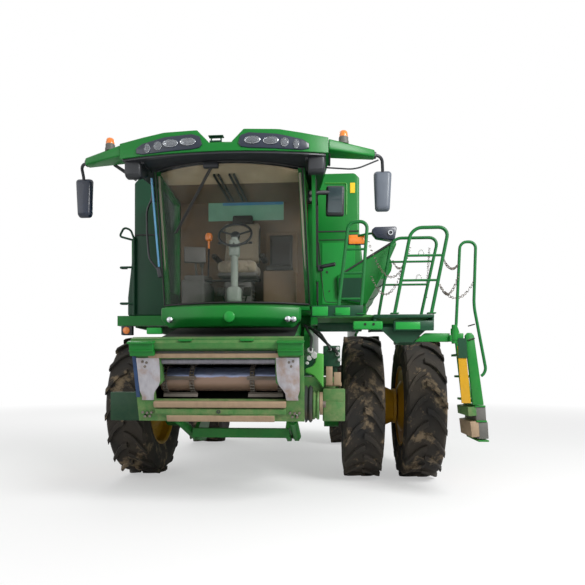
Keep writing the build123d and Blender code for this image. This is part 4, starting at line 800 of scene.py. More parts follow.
doorRoute = [(0.938, -0.85, 2.275), (0.938, glassEdgeAt(2.275) + 0.1, 2.275),
    (0.938, glassEdgeAt(3.54) + 0.1, 3.54), (0.938, -0.85, 3.54), (0.938, -0.85, 2.275)]
doorSeal = bentBar("doorGlassSeal", doorRoute, 0.009)
finished(doorSeal, hoseRubber, "door")
latch = [startBox("doorLatch", (0.985, glassEdgeAt(2.64) + 0.07, 2.63), (0.06, 0.05, 0.07)),
    bentBar("doorPull", [(0.98, glassEdgeAt(2.64) + 0.07, 2.635), (1.02, glassEdgeAt(2.64) + 0.02, 2.64),
    (1.15, glassEdgeAt(2.64) - 0.02, 2.655)], 0.022, 0.02)]
rounded(latch[0], 0.008)
finished(joined(latch, "doorHandle"), blackPlastic, "door")

framePiece = softened("cab_frame", "cabFrame", 0.004, 1)
finished(framePiece, greenEnamel)
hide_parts("cab_frame")

nose = softened("cab_nose", "cabNose", 0.02, 3)
finished(nose, greenEnamel)
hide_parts("cab_nose")
for index, (x, y) in enumerate(((0.64, -1.862), (0.7, -1.828), (-0.654, -1.856))):
    noseLamp = spunShape(f"noseLamp{index}", [(-0.02, 0.0), (-0.018, 0.02), (-0.01, 0.03), (0.02, 0.034)],
        (x, y, 2.012), 24, (0, 1, 0), closed=False)
    finished(noseLamp, lampReflector)
noseBoss = spunShape("noseBoss", [(-0.012, 0.0), (-0.012, 0.05), (-0.006, 0.058), (0.02, 0.06)],
    (0.025, -1.97, 2.029), 40, (0, 1, 0), closed=False)
finished(noseBoss, litGreen)
noseFoot = softBox("noseFoot", (-0.86, -1.74, 1.9), (0.17, 0.05, 0.07), 0.008)
finished(noseFoot, litGreen)
print("cab shell done")

# ---- cab inside

padCloth = {"inset": 0.55, "voxel": 0.006, "pressure": 4.0, "frames": 20}


def padded(name, centre, size, body, material, swell=0.024, tilt=0.0):
    # a pad starts as a rounded block and is blown up as cloth
    inner = [side - 2 * swell * padCloth["inset"] for side in size]
    pad = softBox(name, centre, inner, min(inner) * 0.3, 4, 30, turn=(tilt, 0, 0))
    withModifier(pad, "REMESH", mode="VOXEL", voxel_size=padCloth["voxel"])
    rest = [vertex.co.copy() for vertex in pad.data.vertices]
    pick(pad)
    cloth = pad.modifiers.new("stuffing", "CLOTH")
    cloth.settings.use_pressure = True
    cloth.settings.uniform_pressure_force = padCloth["pressure"]
    cloth.settings.effector_weights.gravity = 0.0
    for frameNumber in range(1, padCloth["frames"] + 1):
        scene.frame_set(frameNumber)
    bpy.ops.object.modifier_apply(modifier=cloth.name)
    for vertex, start in zip(pad.data.vertices, rest):
        shift = vertex.co - start
        if shift.length > swell:
            vertex.co = start + shift.normalized() * swell
    scene.frame_set(1)
    withModifier(pad, "SUBSURF", levels=1, render_levels=1)
    finished(pad, material, body, angle=60)
    return pad


seatBase = [softBox("seatBox", (0, -1.12, 2.37), (0.32, 0.32, 0.3), 0.02),
    softBox("seatPan", (0, -1.14, 2.59), (0.46, 0.44, 0.05), 0.02), softBox("seatShell", (0, -0.886, 3.02),
    (0.44, 0.03, 0.54), 0.014, turn=(-0.12, 0, 0))]
for step in range(5):
    seatBase.append(spunShape("bellows", [(0, 0.165), (0.02, 0.19), (0.04, 0.165)],
        (0, -1.12, 2.3 + 0.05 * step), 28, (0, 0, 1), closed=False))
seatFrame = finished(joined(seatBase, "seatFrame"), greyPlastic, slot="seat_cloth")
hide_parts("operator_seat")
padded("seatCushion", (0, -1.14, 2.685), (0.5, 0.48, 0.14), "chassis", seatCloth)
padded("seatBack", (0, -0.945, 3.04), (0.47, 0.12, 0.56), "chassis", seatCloth, tilt=-0.12)
padded("headRest", (0, -0.9, 3.35), (0.28, 0.1, 0.14), "chassis", darkCloth, tilt=-0.12)
for side, word in bothSides:
    padded("armRest" + word, (side * 0.285, -1.11, 2.825), (0.08, 0.36, 0.07), "chassis", darkCloth, 0.012)

trainer = [softBox("trainerBox", (0.49, -1.05, 2.44), (0.38, 0.4, 0.42), 0.02), softBox("trainerShell",
    (0.49, -0.9, 2.92), (0.4, 0.04, 0.54), 0.05, 4)]
finished(joined(trainer, "trainerSeatFrame"), brownTrim, slot="seat_cloth")
padded("trainerBack", (0.49, -0.945, 2.92), (0.32, 0.08, 0.48), "chassis", darkCloth, 0.014)
padded("trainerCushion", (0.49, -1.06, 2.68), (0.36, 0.38, 0.07), "chassis", darkCloth, 0.014)

wheelMiddle, wheelTilt = (0, -1.46, 3.03), math.atan2(0.8, 0.6)
ring = spunShape("steeringRing", [(0.014 * math.sin(t * math.pi / 6),
    0.19 + 0.014 * math.cos(t * math.pi / 6)) for t in range(12)], wheelMiddle, 48, (0, 0, 1))
spokes = [spunShape("wheelHub", [(-0.09, 0.03), (-0.03, 0.05), (0.0, 0.055), (0.012, 0.045), (0.016, 0.0)],
    wheelMiddle, 24, (0, 0, 1), closed=False)]
for angle in (0.35, math.pi - 0.35, -math.pi / 2):
    spokes.append(bentBar("spoke", [(0.04 * math.cos(angle), -1.46 + 0.04 * math.sin(angle), 3.02),
        (0.18 * math.cos(angle), -1.46 + 0.18 * math.sin(angle), 3.03)], 0.011))
steering = joined([ring, *spokes], "steeringWheel")
openMesh(steering)
bpy.ops.transform.rotate(value=-wheelTilt, orient_axis="X", center_override=place(*wheelMiddle))
closeMesh()
finished(steering, blackPlastic)
column = [softBox("columnFoot", (0, -1.51, 2.32), (0.17, 0.15, 0.2), 0.05, 3), bentBar("columnTube",
    [(0, -1.51, 2.3), (0, -1.505, 2.8), (0, -1.5, 2.98)], 0.042, 0.05, 5), softBox("columnCowl",
    (0, -1.505, 2.86), (0.12, 0.1, 0.2), 0.03, 3)]
columnPiece = finished(joined(column, "steeringColumn"), columnPaint)
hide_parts("steering_column")
for side, word in bothSides:
    pedal = joined([softBox("pad", (side * 0.15, -1.52, 2.36), (0.09, 0.02, 0.12), 0.006, turn=(-0.5, 0, 0)),
        bentBar("stem", [(side * 0.15, -1.52, 2.36), (side * 0.12, -1.48, 2.25)], 0.01)], "pedal" + word)
    finished(pedal, blackEnamel)
    stalk = joined([bentBar("stalk", [(side * 0.05, -1.5, 2.9), (side * 0.17, -1.47, 2.93)], 0.007),
        rounded(startRound("knob", (side * 0.18, -1.468, 2.932), 0.014, 0.04, 14, lyingAcross), 0.004)],
        "stalk" + word)
    finished(stalk, blackPlastic)

desk = [softBox("consoleBase", (-0.5, -1.18, 2.37), (0.28, 0.56, 0.3), 0.03, 3), softBox("consoleTop",
    (-0.49, -1.2, 2.56), (0.24, 0.5, 0.08), 0.025, 3, turn=(0.12, 0, 0)), softBox("screenCase",
    (-0.47, -1.465, 2.8), (0.25, 0.045, 0.19), 0.014, 3, turn=(-0.15, 0, 0.25)), bentBar("screenArm",
    [(-0.47, -1.38, 2.58), (-0.47, -1.43, 2.66), (-0.47, -1.44, 2.8)], 0.014, 0.03), bentBar("speedLever",
    [(-0.42, -1.3, 2.58), (-0.42, -1.33, 2.7)], 0.012), softBox("leverGrip", (-0.42, -1.34, 2.73),
    (0.05, 0.055, 0.1), 0.018, 3, turn=(0.2, 0, 0))]
deskPiece = finished(joined(desk, "controlConsole"), greyPlastic)
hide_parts("control_console")
knob = spunShape("hazardKnob", [(0, 0.012), (0.09, 0.014), (0.1, 0.04), (0.15, 0.046), (0.18, 0.03),
    (0.19, 0.0)], (-0.335, -1.34, 2.9), 20, (0, 0, 1), closed=False)
finished(knob, amberPlastic)
knobStem = bentBar("hazardStem", [(-0.35, -1.3, 2.58), (-0.335, -1.34, 2.91)], 0.01)
finished(knobStem, blackPlastic)
print("cab inside done")

# ---- roof

roofLook = {"seam": 3.648, "front": -2.335, "bow": 4.526, "trayInset": 0.975, "trayLow": 3.602}


def roofEdge(x, ahead):
    # the bowed front of the roof at a distance from the middle
    return roofLook["front"] - ahead + roofLook["bow"] - math.sqrt(roofLook["bow"] ** 2 - x * x)


def cutAt(piece, height, keepAbove):
    bisected(piece, (0, 0, height), (0, 0, 1), use_fill=True, clear_inner=keepAbove,
        clear_outer=not keepAbove)
    cleanUp(piece)
    return piece


roofShell = cutAt(softened("cab_roof", "roofShell", 0.02, 3), roofLook["seam"], True)
finished(roofShell, greenEnamel)
roofTray = cutAt(softened("cab_roof", "roofTray", 0.004, 1), roofLook["seam"], False)
cutAt(roofTray, roofLook["trayLow"], True)
openMesh(roofTray)
bpy.ops.transform.resize(value=(roofLook["trayInset"], 0.985, 1), center_override=place(0, -1.2, 3.7))
closeMesh()
finished(roofTray, blackPlastic)
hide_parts("cab_roof")

wings = softened("roof_wings", "roofWings", 0.014, 3)
finished(wings, greenEnamel)
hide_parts("roof_wings")

for side, word in bothSides:
    panel = plateOf("lampPanel" + word, [(side * x, -2.5, z) for x, z in ((0.182, 3.715), (0.205, 3.795),
        (0.285, 3.821), (0.571, 3.81), (0.817, 3.765), (0.886, 3.725), (0.885, 3.675), (0.816, 3.657),
        (0.285, 3.67), (0.208, 3.682))], (0, 0.5, 0))
    bowRange = [side * (0.1 + 0.05 * step) for step in range(18)]
    band = plateOf("panelBand", [(x, roofEdge(x, 0.012), 3.6) for x in bowRange] + [(x, roofEdge(x, -0.03),
        3.6) for x in reversed(bowRange)], (0, 0, 0.3))
    withModifier(panel, "BOOLEAN", operation="INTERSECT", object=band, solver="EXACT")
    bpy.data.objects.remove(band, do_unlink=True)
    cleanUp(panel)
    rounded(panel, 0.006, 2, 50)
    finished(panel, navyPlastic)
    duct = plateOf("airDuct" + word, [(side * 0.955 - 0.088, y, z) for y, z in ((-1.9, 3.66), (-1.9, 3.55),
        (-2.1, 3.462), (-2.15, 3.462), (-2.18, 3.5), (-2.18, 3.66))], (0.176, 0, 0))
    finished(rounded(duct, 0.03, 4, 40), blackPlastic)
    bowls, lenses = [], []
    # lamps as (distance from the middle, height, half width, half height)
    for x, z, wide, high in ((0.325, 3.741, 0.074, 0.035), (0.507, 3.737, 0.072, 0.035),
        (0.643, 3.722, 0.038, 0.04), (0.758, 3.708, 0.028, 0.042)):
        front = roofEdge(x, 0.008)
        bowl = spunShape("lampBowl", [(0.0, 1.0), (-0.012, 1.06), (-0.014, 1.0), (-0.002, 0.9), (0.012, 0.45),
            (0.016, 0.0), (0.02, 0.0), (0.02, 1.0)], (side * x, front - 0.006, z), 28, (0, 1, 0))
        lens = spunShape("lampLens", [(-0.012, 0.98), (-0.017, 0.7), (-0.02, 0.0)],
            (side * x, front - 0.004, z), 28, (0, 1, 0), closed=False)
        for item in (bowl, lens):
            openMesh(item)
            bpy.ops.transform.resize(value=(wide, 1, high), center_override=place(side * x, front, z))
            closeMesh()
        bowls.append(bowl)
        lenses.append(lens)
    finished(joined(bowls, "lampBowls" + word), lampReflector)
    glass = finished(joined(lenses, "lampLenses" + word), lampGlass)
    if side > 0:
        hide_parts("work_lamps")

    beaconBase = spunShape("beaconBase" + word, [(-0.06, 0.0), (-0.06, 0.036), (-0.012, 0.04),
        (-0.008, 0.054), (0.02, 0.054), (0.026, 0.049), (0.06, 0.049), (0.064, 0.045), (0.064, 0.0)],
        (side * 1.231, -2.071, 3.79), 32, (0, 0, 1), closed=False)
    finished(beaconBase, greyPlastic)
    dome = spunShape("beacon" + word, [(0.0, 0.045), (0.01, 0.047), (0.016, 0.044), (0.026, 0.046),
        (0.032, 0.043), (0.05, 0.041), (0.062, 0.03), (0.068, 0.0)], (side * 1.231, -2.071, 3.854), 32,
        (0, 0, 1), closed=False)
    finished(dome, amberPlastic)
    if side > 0:
        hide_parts("amber_lamps")

    arm = [bentBar("mirrorArm", [(side * 1.54, -1.9, 3.73), (side * 1.64, -1.88, 3.725),
        (side * 1.66, -1.76, 3.6), (side * 1.66, -1.76, 3.5)], 0.017, 0.06), softBox("armClamp",
        (side * 1.545, -1.9, 3.725), (0.07, 0.07, 0.06), 0.012)]
    finished(joined(arm, "mirrorArm" + word), blackPlastic)
    housing = startBox("mirror" + word, (side * 1.66, -1.752, 3.395), (0.21, 0.085, 0.45))
    chooseFaces(housing, lambda centre, normal: normal.y < -0.9)
    bpy.ops.transform.resize(value=(0.84, 1, 0.9), center_override=place(side * 1.66, -1.795, 3.395))
    closeMesh()
    chooseFaces(housing, lambda centre, normal: normal.z < -0.9)
    bpy.ops.transform.resize(value=(0.8, 1, 1), center_override=place(side * 1.65, -1.75, 3.17))
    closeMesh()
    rounded(housing, 0.036, 5)
    chooseFaces(housing, lambda centre, normal: normal.y > 0.99)
    bpy.ops.mesh.inset(thickness=0.012)
    bpy.ops.transform.translate(value=(0, -0.008, 0))
    closeMesh()
    # the mirror on the lit side is paler grey and its twin navy: painted light on one copy
    finished(housing, litMirrorGrey if side > 0 else navyPlastic)
    if side > 0:
        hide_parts("mirrors")
    pane = startBox("mirrorGlass" + word, (side * 1.66, -1.715, 3.395), (0.16, 0.006, 0.36))
    finished(rounded(pane, 0.002, 1), chromeRod)

# amber marker lamps below and beside the front panels
marker = softBox("markerRight", (-1.565, -0.69, 1.988), (0.15, 0.075, 0.12), 0.012)
finished(marker, blackPlastic)
markerLens = spunShape("markerLens", [(0.0, 0.045), (-0.014, 0.044), (-0.022, 0.03), (-0.025, 0.0)],
    (-1.565, -0.728, 1.988), 28, (0, 1, 0), closed=False)
finished(markerLens, amberPlastic)
reflectorBack = softBox("reflectorCase", (1.43, -0.726, 3.125), (0.22, 0.018, 0.135), 0.008)
finished(reflectorBack, blackPlastic)
reflector = startBox("reflectorLens", (1.43, -0.738, 3.125), (0.2, 0.014, 0.115))
for cut in range(1, 6):
    bisected(reflector, (1.33 + 0.2 * cut / 6, 0, 0), (1, 0, 0))
finished(rounded(reflector, 0.004, 2), amberPlastic)

bracket = [startBox("aerialFoot", (-0.05, -2.28, 3.75), (0.12, 0.08, 0.014)), bentBar("aerialHoop",
    [(-0.1, -2.28, 3.75), (-0.1, -2.28, 3.8), (0.0, -2.28, 3.8), (0.0, -2.28, 3.75)], 0.008, 0.014),
    startBox("aerialPlate", (-0.05, -2.28, 3.81), (0.15, 0.06, 0.008))]
finished(joined(bracket, "aerialBracket"), darkGreenAndShade)


def wiper(name, foot, tip, offset):
    # arm and blade lie along the glass
    arm = bentBar(name + "Arm", [foot, tip], 0.009)
    blade = bentBar(name + "Blade", [(foot[0] + offset, foot[1] - 0.006, foot[2]),
        (tip[0] + offset, tip[1] - 0.006, tip[2])], 0.006)
    piece = joined([arm, blade], name)
    return finished(piece, hoseRubber)


wiper("wiperLong", (-0.14, -2.135, 3.56), (-0.59, -1.87, 2.95), 0.022)
motor = softBox("wiperMotor", (-0.14, -2.12, 3.585), (0.16, 0.06, 0.06), 0.012)
finished(motor, blackPlastic)
print("roof done")

# ---- feeder house

feederTilt = math.radians(16.5)
feederRun = {"pivot": (-0.8, 1.832), "face": 1.682, "drum": (1.395, -0.07), "drumRadius": 0.125,
    "chains": (-0.59, -0.31, 0.31, 0.59)}


def onFeeder(x, along, up):
    # a machine place from distances across, along and square to the feeder house
    return (x, feederRun["pivot"][0] - along * math.cos(feederTilt) - up * math.sin(feederTilt),
        feederRun["pivot"][1] - along * math.sin(feederTilt) + up * math.cos(feederTilt))


def faceBox(name, low, high, along, depth, edge):
    # a block on the face frame between two (across, up) corners
    middle = onFeeder((low[0] + high[0]) / 2, along + depth / 2, (low[1] + high[1]) / 2)
    size = (abs(high[0] - low[0]), depth, high[1] - low[1])
    return softBox(name, middle, size, edge, 3, turn=(feederTilt, 0, 0))


houseShell = softened("feeder_house", "feederHouse", 0.006)
finished(houseShell, greenEnamel, "feeder")
# faces inside the throat take the near-black: painted shade in the recess
houseShell.data.materials.append(paintedShadeBlack)
for face in houseShell.data.polygons:
    spot = face.center + machineMiddle
    depth, height = feederRun["pivot"][0] - spot.y, spot.z - feederRun["pivot"][1]
    up = height * math.cos(feederTilt) + depth * math.sin(feederTilt)
    along = depth * math.cos(feederTilt) - height * math.sin(feederTilt)
    if abs(spot.x) < 0.716 and abs(up) < 0.4 and -0.1 < along < 1.59:
        face.material_index = 1
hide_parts("feeder_house")

faceFrame = softened("feeder_face", "feederFaceFrame", 0.008, 3)
finished(faceFrame, dustyGreen, "feeder")
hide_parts("feeder_face")
front = feederRun["face"]
for side, word in bothSides:
    corners = [(0.8, 0.236), (0.572, 0.236), (0.574, 0.1), (0.582, 0.0), (0.6, -0.05), (0.632, -0.09),
        (0.655, -0.13), (0.664, -0.2), (0.785, -0.2), (0.78, -0.16), (0.798, -0.1), (0.8, 0.0)]
    wear = plateOf("wearPlate" + word, [onFeeder(side * x, front + 0.001, up) for x, up in corners],
        Vector(onFeeder(0, 0.012, 0)) - Vector(onFeeder(0, 0, 0)))
    finished(rounded(wear, 0.003, 2), wornSteel, "feeder")
    strip = faceBox("sideStrip" + word, (side * 0.84, -0.17), (side * 0.802, 0.25), front, 0.01, 0.003)
    # the strip on the shaded side is dark blue and its twin dusty green: painted shade
    finished(strip, shadedStripBlue if side < 0 else dustyGreen, "feeder", slot="dark_steel")
    heads = []
    for x, up in ((0.7, -0.33), (0.745, -0.335), (0.79, -0.33), (0.72, -0.37), (0.77, -0.372), (0.7, 0.19),
        (0.74, 0.2), (0.72, 0.15)):
        heads.append(startRound("head", onFeeder(side * x, front + 0.012, up), 0.014, 0.022, 6,
            (math.pi / 2 + feederTilt, 0, 0)))
    finished(rounded(joined(heads, "faceBolts" + word), 0.002, 1), chainSteel, "feeder", slot="worn_steel")
    bracket = [faceBox("plate", (side * 0.84, 0.27), (side * 0.6, 0.41), front + 0.02, 0.05, 0.006),
        faceBox("lip", (side * 0.85, 0.395), (side * 0.59, 0.412), front + 0.02, 0.07, 0.004), faceBox("lip",
        (side * 0.84, 0.318), (side * 0.6, 0.33), front + 0.02, 0.065, 0.004)]
    finished(joined(bracket, "saddleEnd" + word), greenEnamel, "feeder")
    hook = faceBox("saddleHook" + word, (side * 0.3 - 0.06, 0.408), (side * 0.3 + 0.07, 0.424), front - 0.01,
        0.06, 0.005)
    finished(hook, greenEnamel, "feeder")
rows = [("rubStrip", (-0.62, 0.282), (0.58, 0.304), 0.02, castIron, "cast_iron", 0.003), ("dustStrip",
    (-0.68, 0.234), (0.6, 0.282), 0.016, dustySill, "worn_steel", 0.006), ("sill", (-0.664, -0.27),
    (0.664, -0.205), 0.045, dustySill, "worn_steel", 0.012), ("skidPlate", (-0.545, -0.422), (0.545, -0.355),
    0.03, dustySill, "worn_steel", 0.008), ("lowerBeam", (-0.66, -0.345), (0.66, -0.285), 0.03, dustyGreen,
    "green_paint", 0.01), ("beamPatch", (-0.02, -0.34), (0.13, -0.29), 0.036, dustyGreen, "green_paint",
    0.004)]
for name, low, high, depth, material, slotName, edge in rows:
    finished(faceBox(name, low, high, front, depth, edge), material, "feeder", slot=slotName)
eyelet = spunShape("beamEyelet", [(-0.006, 0.01), (0.006, 0.01), (0.006, 0.02), (-0.006, 0.02)],
    onFeeder(-0.01, front + 0.038, -0.31), 20, (0, 1, 0))
finished(eyelet, castIron, "feeder")
guideBar = bentBar("guideBar", [onFeeder(-0.7, 1.62, 0.185), onFeeder(0.7, 1.62, 0.185)], 0.032, 0, 8)
finished(guideBar, guideSteel, "feeder")

# conveyor: drums, chains with side plates and pins, angle slats
drumPlace = onFeeder(0, *feederRun["drum"])
drums = [spunShape("frontDrum", [(-0.64, 0.0), (-0.64, 0.125), (-0.62, 0.125), (0.62, 0.125), (0.64, 0.125),
    (0.64, 0.0)], drumPlace, 64, (1, 0, 0), closed=False), spunShape("rearDrum",
    [(-0.64, 0.0), (-0.64, 0.125), (0.64, 0.125), (0.64, 0.0)], onFeeder(0, 0, 0), 48, (1, 0, 0),
    closed=False), startRound("drumShaft", drumPlace, 0.035, 1.38, 24, lyingAcross), startRound("rearShaft",
    onFeeder(0, 0, 0), 0.035, 1.38, 24, lyingAcross)]
drumPiece = finished(joined(drums, "conveyorDrums"), drumSteel, "feeder")
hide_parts("feeder_conveyor")
slope = math.atan2(-0.07, 1.395)
for index, x in enumerate(feederRun["chains"]):
    strand = []
    for offset in (-0.014, 0.014):
        loop = []
        for end, middle in ((0, (0.0, 0.0)), (1, feederRun["drum"])):
            for step in range(9):
                turn = math.radians((90 if end == 0 else -90) + 22.5 * step) + slope
                loop.append(onFeeder(x + offset, middle[0] + 0.139 * math.cos(turn),
                    middle[1] + 0.139 * math.sin(turn)))
        strand.append(bentBar("chainSide", [*loop, loop[0]], 0.006, 0, 1))
    link = [softBox("linkPlate", onFeeder(x + offset, feederRun["drum"][0], feederRun["drum"][1] + 0.14),
        (0.005, 0.034, 0.024), 0.003, 2, turn=(feederTilt, 0, 0)) for offset in (-0.019, 0.019)]
    link.append(startRound("linkPin", onFeeder(x, feederRun["drum"][0] - 0.012, feederRun["drum"][1] + 0.14),
        0.009, 0.05, 12, lyingAcross))
    links = joined(link, "links")
    strand.append(copiedAround(links, 24, drumPlace))
    finished(joined(strand, f"conveyorChain{index}"), chainSteel, "feeder")
slats = []
for x in (-0.44, 0.44):
    for turn in (-50, 20, 95):
        angle = math.radians(turn)
        for reach, leg in ((0.178, (0.36, 0.005, 0.045)), (0.158, (0.36, 0.04, 0.005))):
            along = feederRun["drum"][0] + reach * math.cos(angle)
            up = feederRun["drum"][1] + reach * math.sin(angle)
            slats.append(startBox("slat", onFeeder(x, along, up), leg,
                (math.pi / 2 - angle + feederTilt, 0, 0)))
finished(rounded(joined(slats, "conveyorSlats"), 0.002, 1), chainSteel, "feeder")

# drives and couplings beside the feeder
pulleys = [spunShape("pulley", [(0.0, 0.05), (0.0, 0.19), (0.012, 0.19), (0.03, 0.165), (0.048, 0.19),
    (0.06, 0.19), (0.075, 0.17), (0.075, 0.05)], (0.84, -2.1, 1.113), 48), spunShape("pulley", [(0.0, 0.04),
    (0.0, 0.143), (0.01, 0.15), (0.03, 0.13), (0.05, 0.15), (0.065, 0.143), (0.065, 0.04)],
    (0.918, -2.1, 1.1), 48), spunShape("pulley", [(0.0, 0.03), (0.0, 0.117), (0.03, 0.117), (0.03, 0.03)],
    (0.988, -2.1, 1.118), 40)]
for index, (pulley, material) in enumerate(zip(pulleys, (castIron, dustyGreen, dustySill))):
    finished(pulley, material, "feeder", slot="cast_iron")
    pulley.name = f"drivePulley{index}"
pulleyShaft = startRound("pulleyShaft", (0.88, -2.1, 1.11), 0.035, 0.34, 24, lyingAcross)
finished(pulleyShaft, chainSteel, "feeder")
driveCase = [softBox("case", (1.133, -1.86, 1.095), (0.235, 0.24, 0.34), 0.012, 3), softBox("caseLid",
    (1.133, -1.985, 1.03), (0.22, 0.02, 0.2), 0.008),
    softBox("caseArm", (0.93, -1.75, 1.24), (0.44, 0.1, 0.3), 0.012)]
drivePiece = finished(joined(driveCase, "driveCase"), dustyGreen, "feeder")
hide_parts("feeder_drive")
arm = facingPlate("headerArm", -2.2, 0.09, ((0.952, 1.635), (1.029, 1.626), (1.027, 1.279), (0.985, 1.33),
    (0.928, 1.403), (0.842, 1.434), (0.842, 1.474), (0.912, 1.496), (0.944, 1.542)))
finished(rounded(arm, 0.014, 3), limeGreen, "feeder")
block = [softBox("couplerBody", (1.11, -1.84, 1.61), (0.18, 0.14, 0.22), 0.01), softBox("couplerMount",
    (0.92, -1.78, 1.5), (0.5, 0.06, 0.2), 0.01)]
finished(joined(block, "couplerBlock"), darkGreenAndShade, "feeder")
fittings = []
for x, z, size in ((1.17, 1.69, 0.022), (1.17, 1.63, 0.026), (1.19, 1.57, 0.022), (1.09, 1.68, 0.018),
    (0.89, 1.66, 0.034), (0.93, 1.61, 0.04), (0.88, 1.58, 0.03), (0.86, 1.53, 0.02)):
    depth = -1.9 if x > 1 else -2.16
    fittings.append(startRound("nut", (x, depth - 0.02, z), size, 0.05, 6, (math.pi / 2, 0, 0.2)))
    fittings.append(startRound("fitting", (x, depth, z), size * 0.75, 0.12, 16, lyingAlong))
finished(rounded(joined(fittings, "hoseFittings"), 0.003, 1), zincPlate, "feeder")
beige = [softBox("shieldPlate", (1.085, -1.9, 1.4), (0.07, 0.02, 0.2), 0.004), softBox("shieldPlate",
    (1.17, -1.91, 1.37), (0.075, 0.02, 0.14), 0.004), softBox("shieldPlate", (1.13, -1.89, 1.31),
    (0.17, 0.02, 0.04), 0.004)]
finished(joined(beige, "couplerShields"), dustySill, "feeder")
leftCase = [softBox("guard", (-1.1, -1.45, 1.045), (0.71, 0.16, 0.33), 0.012),
    softBox("guardArm", (-0.8, -1.45, 1.3), (0.1, 0.12, 0.3), 0.01)]
finished(joined(leftCase, "shaftGuard"), darkGreenAndShade, "feeder")
for index, (start, end, drop) in enumerate((((1.17, -1.98, 1.63), (0.86, -1.4, 1.96), 0.1),
    ((1.09, -1.97, 1.68), (0.8, -1.35, 1.98), 0.02), ((0.9, -2.2, 1.66), (0.82, -1.45, 1.95), 0.06))):
    middle = [(a + b) / 2 for a, b in zip(start, end)]
    hose = bentBar(f"driveHose{index}", [start, (start[0], start[1] - 0.06, start[2] + 0.01),
        (middle[0] + 0.04, middle[1] - 0.05, middle[2] + 0.06 - drop), end], 0.014, 0.06, 4)
    finished(hose, hoseRubber, "feeder")
print("feeder done")

# ---- tank front, lamps and mirrors beside the cab

tankFront = softened("fascia", "tankFront", 0.026, 4)
finished(tankFront, greenEnamel)
# the half at negative x takes the dark green: the cab's shadow painted onto the tank front
tankFront.data.materials.append(darkGreenAndShade)
bisected(tankFront, (0, 0, 0), (1, 0, 0))
for face in tankFront.data.polygons:
    face.material_index = 1 if face.center.x + machineMiddle.x < 0 else 0
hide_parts("fascia")
panelFace = -0.724
seams = []
for side in (1, -1):
    seams.append(startBox("seam", (side * 1.2, panelFace, 3.235), (0.51, 0.01, 0.014)))
seams.append(startBox("seam", (1.21, panelFace, 3.128), (0.5, 0.01, 0.008)))
seams.append(bentBar("seam", [(0.949, panelFace, 3.1), (0.979, panelFace, 2.717), (1.015, panelFace, 2.398),
    (1.04, panelFace, 2.335), (1.25, panelFace, 2.328)], 0.005, 0.02, 1))
seams.append(startBox("plug", (1.054, panelFace, 2.716), (0.022, 0.012, 0.03)))
seams.append(startRound("plug", (1.086, panelFace, 2.473), 0.011, 0.02, 16, lyingAlong))
finished(joined(seams, "tankSeams"), hoseRubber)
edging = bentBar("tankEdging", [(1.031, panelFace, 3.852), (1.304, panelFace, 3.845),
    (1.301, panelFace, 3.45)], 0.008, 0.02, 2)
finished(edging, limeGreen)
labels = [softBox("label", (0.915, panelFace, 3.815), (0.085, 0.006, 0.08), 0.002, 1), softBox("label",
    (1.379, panelFace, 3.785), (0.062, 0.006, 0.13), 0.002, 1)]
finished(joined(labels, "plainLabels"), yellowLabel)
# the lower tank panel takes the paler green: painted light
lowPanel = startBox("tankLowPanel", (1.2, -0.722, 2.7), (0.42, 0.008, 0.78))
finished(rounded(lowPanel, 0.003, 1), litGreen)

doorMirror = [softBox("doorMirror", (1.151, -1.38, 3.413), (0.211, 0.07, 0.348), 0.026, 4, turn=(0, 0.02, 0)),
    bentBar("doorMirrorArm", [(0.879, -1.48, 3.462), (0.933, -1.45, 3.496), (1.1, -1.39, 3.511)], 0.026,
    0.04), softBox("doorMirrorClamp", (0.874, -1.49, 3.432), (0.07, 0.08, 0.14), 0.012)]
finished(joined(doorMirror, "doorMirrorCase"), blackPlastic, "door")
mirrorPane = startBox("doorMirrorPane", (1.151, -1.418, 3.418), (0.162, 0.008, 0.294), (0, 0.02, 0))
finished(rounded(mirrorPane, 0.003, 1), greyPane, "door")
clampBolts = [startRound("clampBolt", (0.879, -1.54, z), 0.02, 0.04, 12, lyingAlong) for z in (3.393, 3.462)]
finished(rounded(joined(clampBolts, "clampBolts"), 0.004), zincPlate, "door")

sideLamp = facingPlate("sideLamp", -0.86, 0.12, ((1.614, 3.219), (1.652, 3.249), (1.904, 3.251),
    (1.920, 3.235), (1.895, 3.084), (1.840, 3.082), (1.666, 3.114), (1.619, 3.171)))
finished(rounded(sideLamp, 0.016, 3), navyPlastic)
lampRing = spunShape("sideLampRing", [(-0.014, 0.02), (-0.014, 0.032), (0.004, 0.032), (0.004, 0.02)],
    (1.841, -0.862, 3.17), 32, (0, 1, 0))
finished(lampRing, lampReflector)
lampArm = bentBar("sideLampArm", [(1.45, -0.74, 3.17), (1.58, -0.8, 3.18), (1.64, -0.81, 3.18)], 0.014, 0.03)
finished(lampArm, railGreen)

# rail on the cab's right side, a painted sky reflection along its glass edge, stays of both mirrors
cabRail = [bentBar("cabRail", [(-0.95, -1.5, 3.49), (-1.03, -1.5, 3.32), (-1.025, -1.5, 3.02),
    (-1.002, -1.5, 2.753), (-0.93, -1.5, 2.67), (-0.87, -1.5, 2.59)], 0.012, 0.05), softBox("railMount",
    (-0.95, -1.49, 3.49), (0.05, 0.06, 0.15), 0.01, turn=(0, 0.12, 0)), softBox("railMount",
    (-0.88, -1.49, 2.6), (0.05, 0.06, 0.12), 0.01, turn=(0, -0.2, 0))]
finished(joined(cabRail, "cabRail"), blackPlastic)
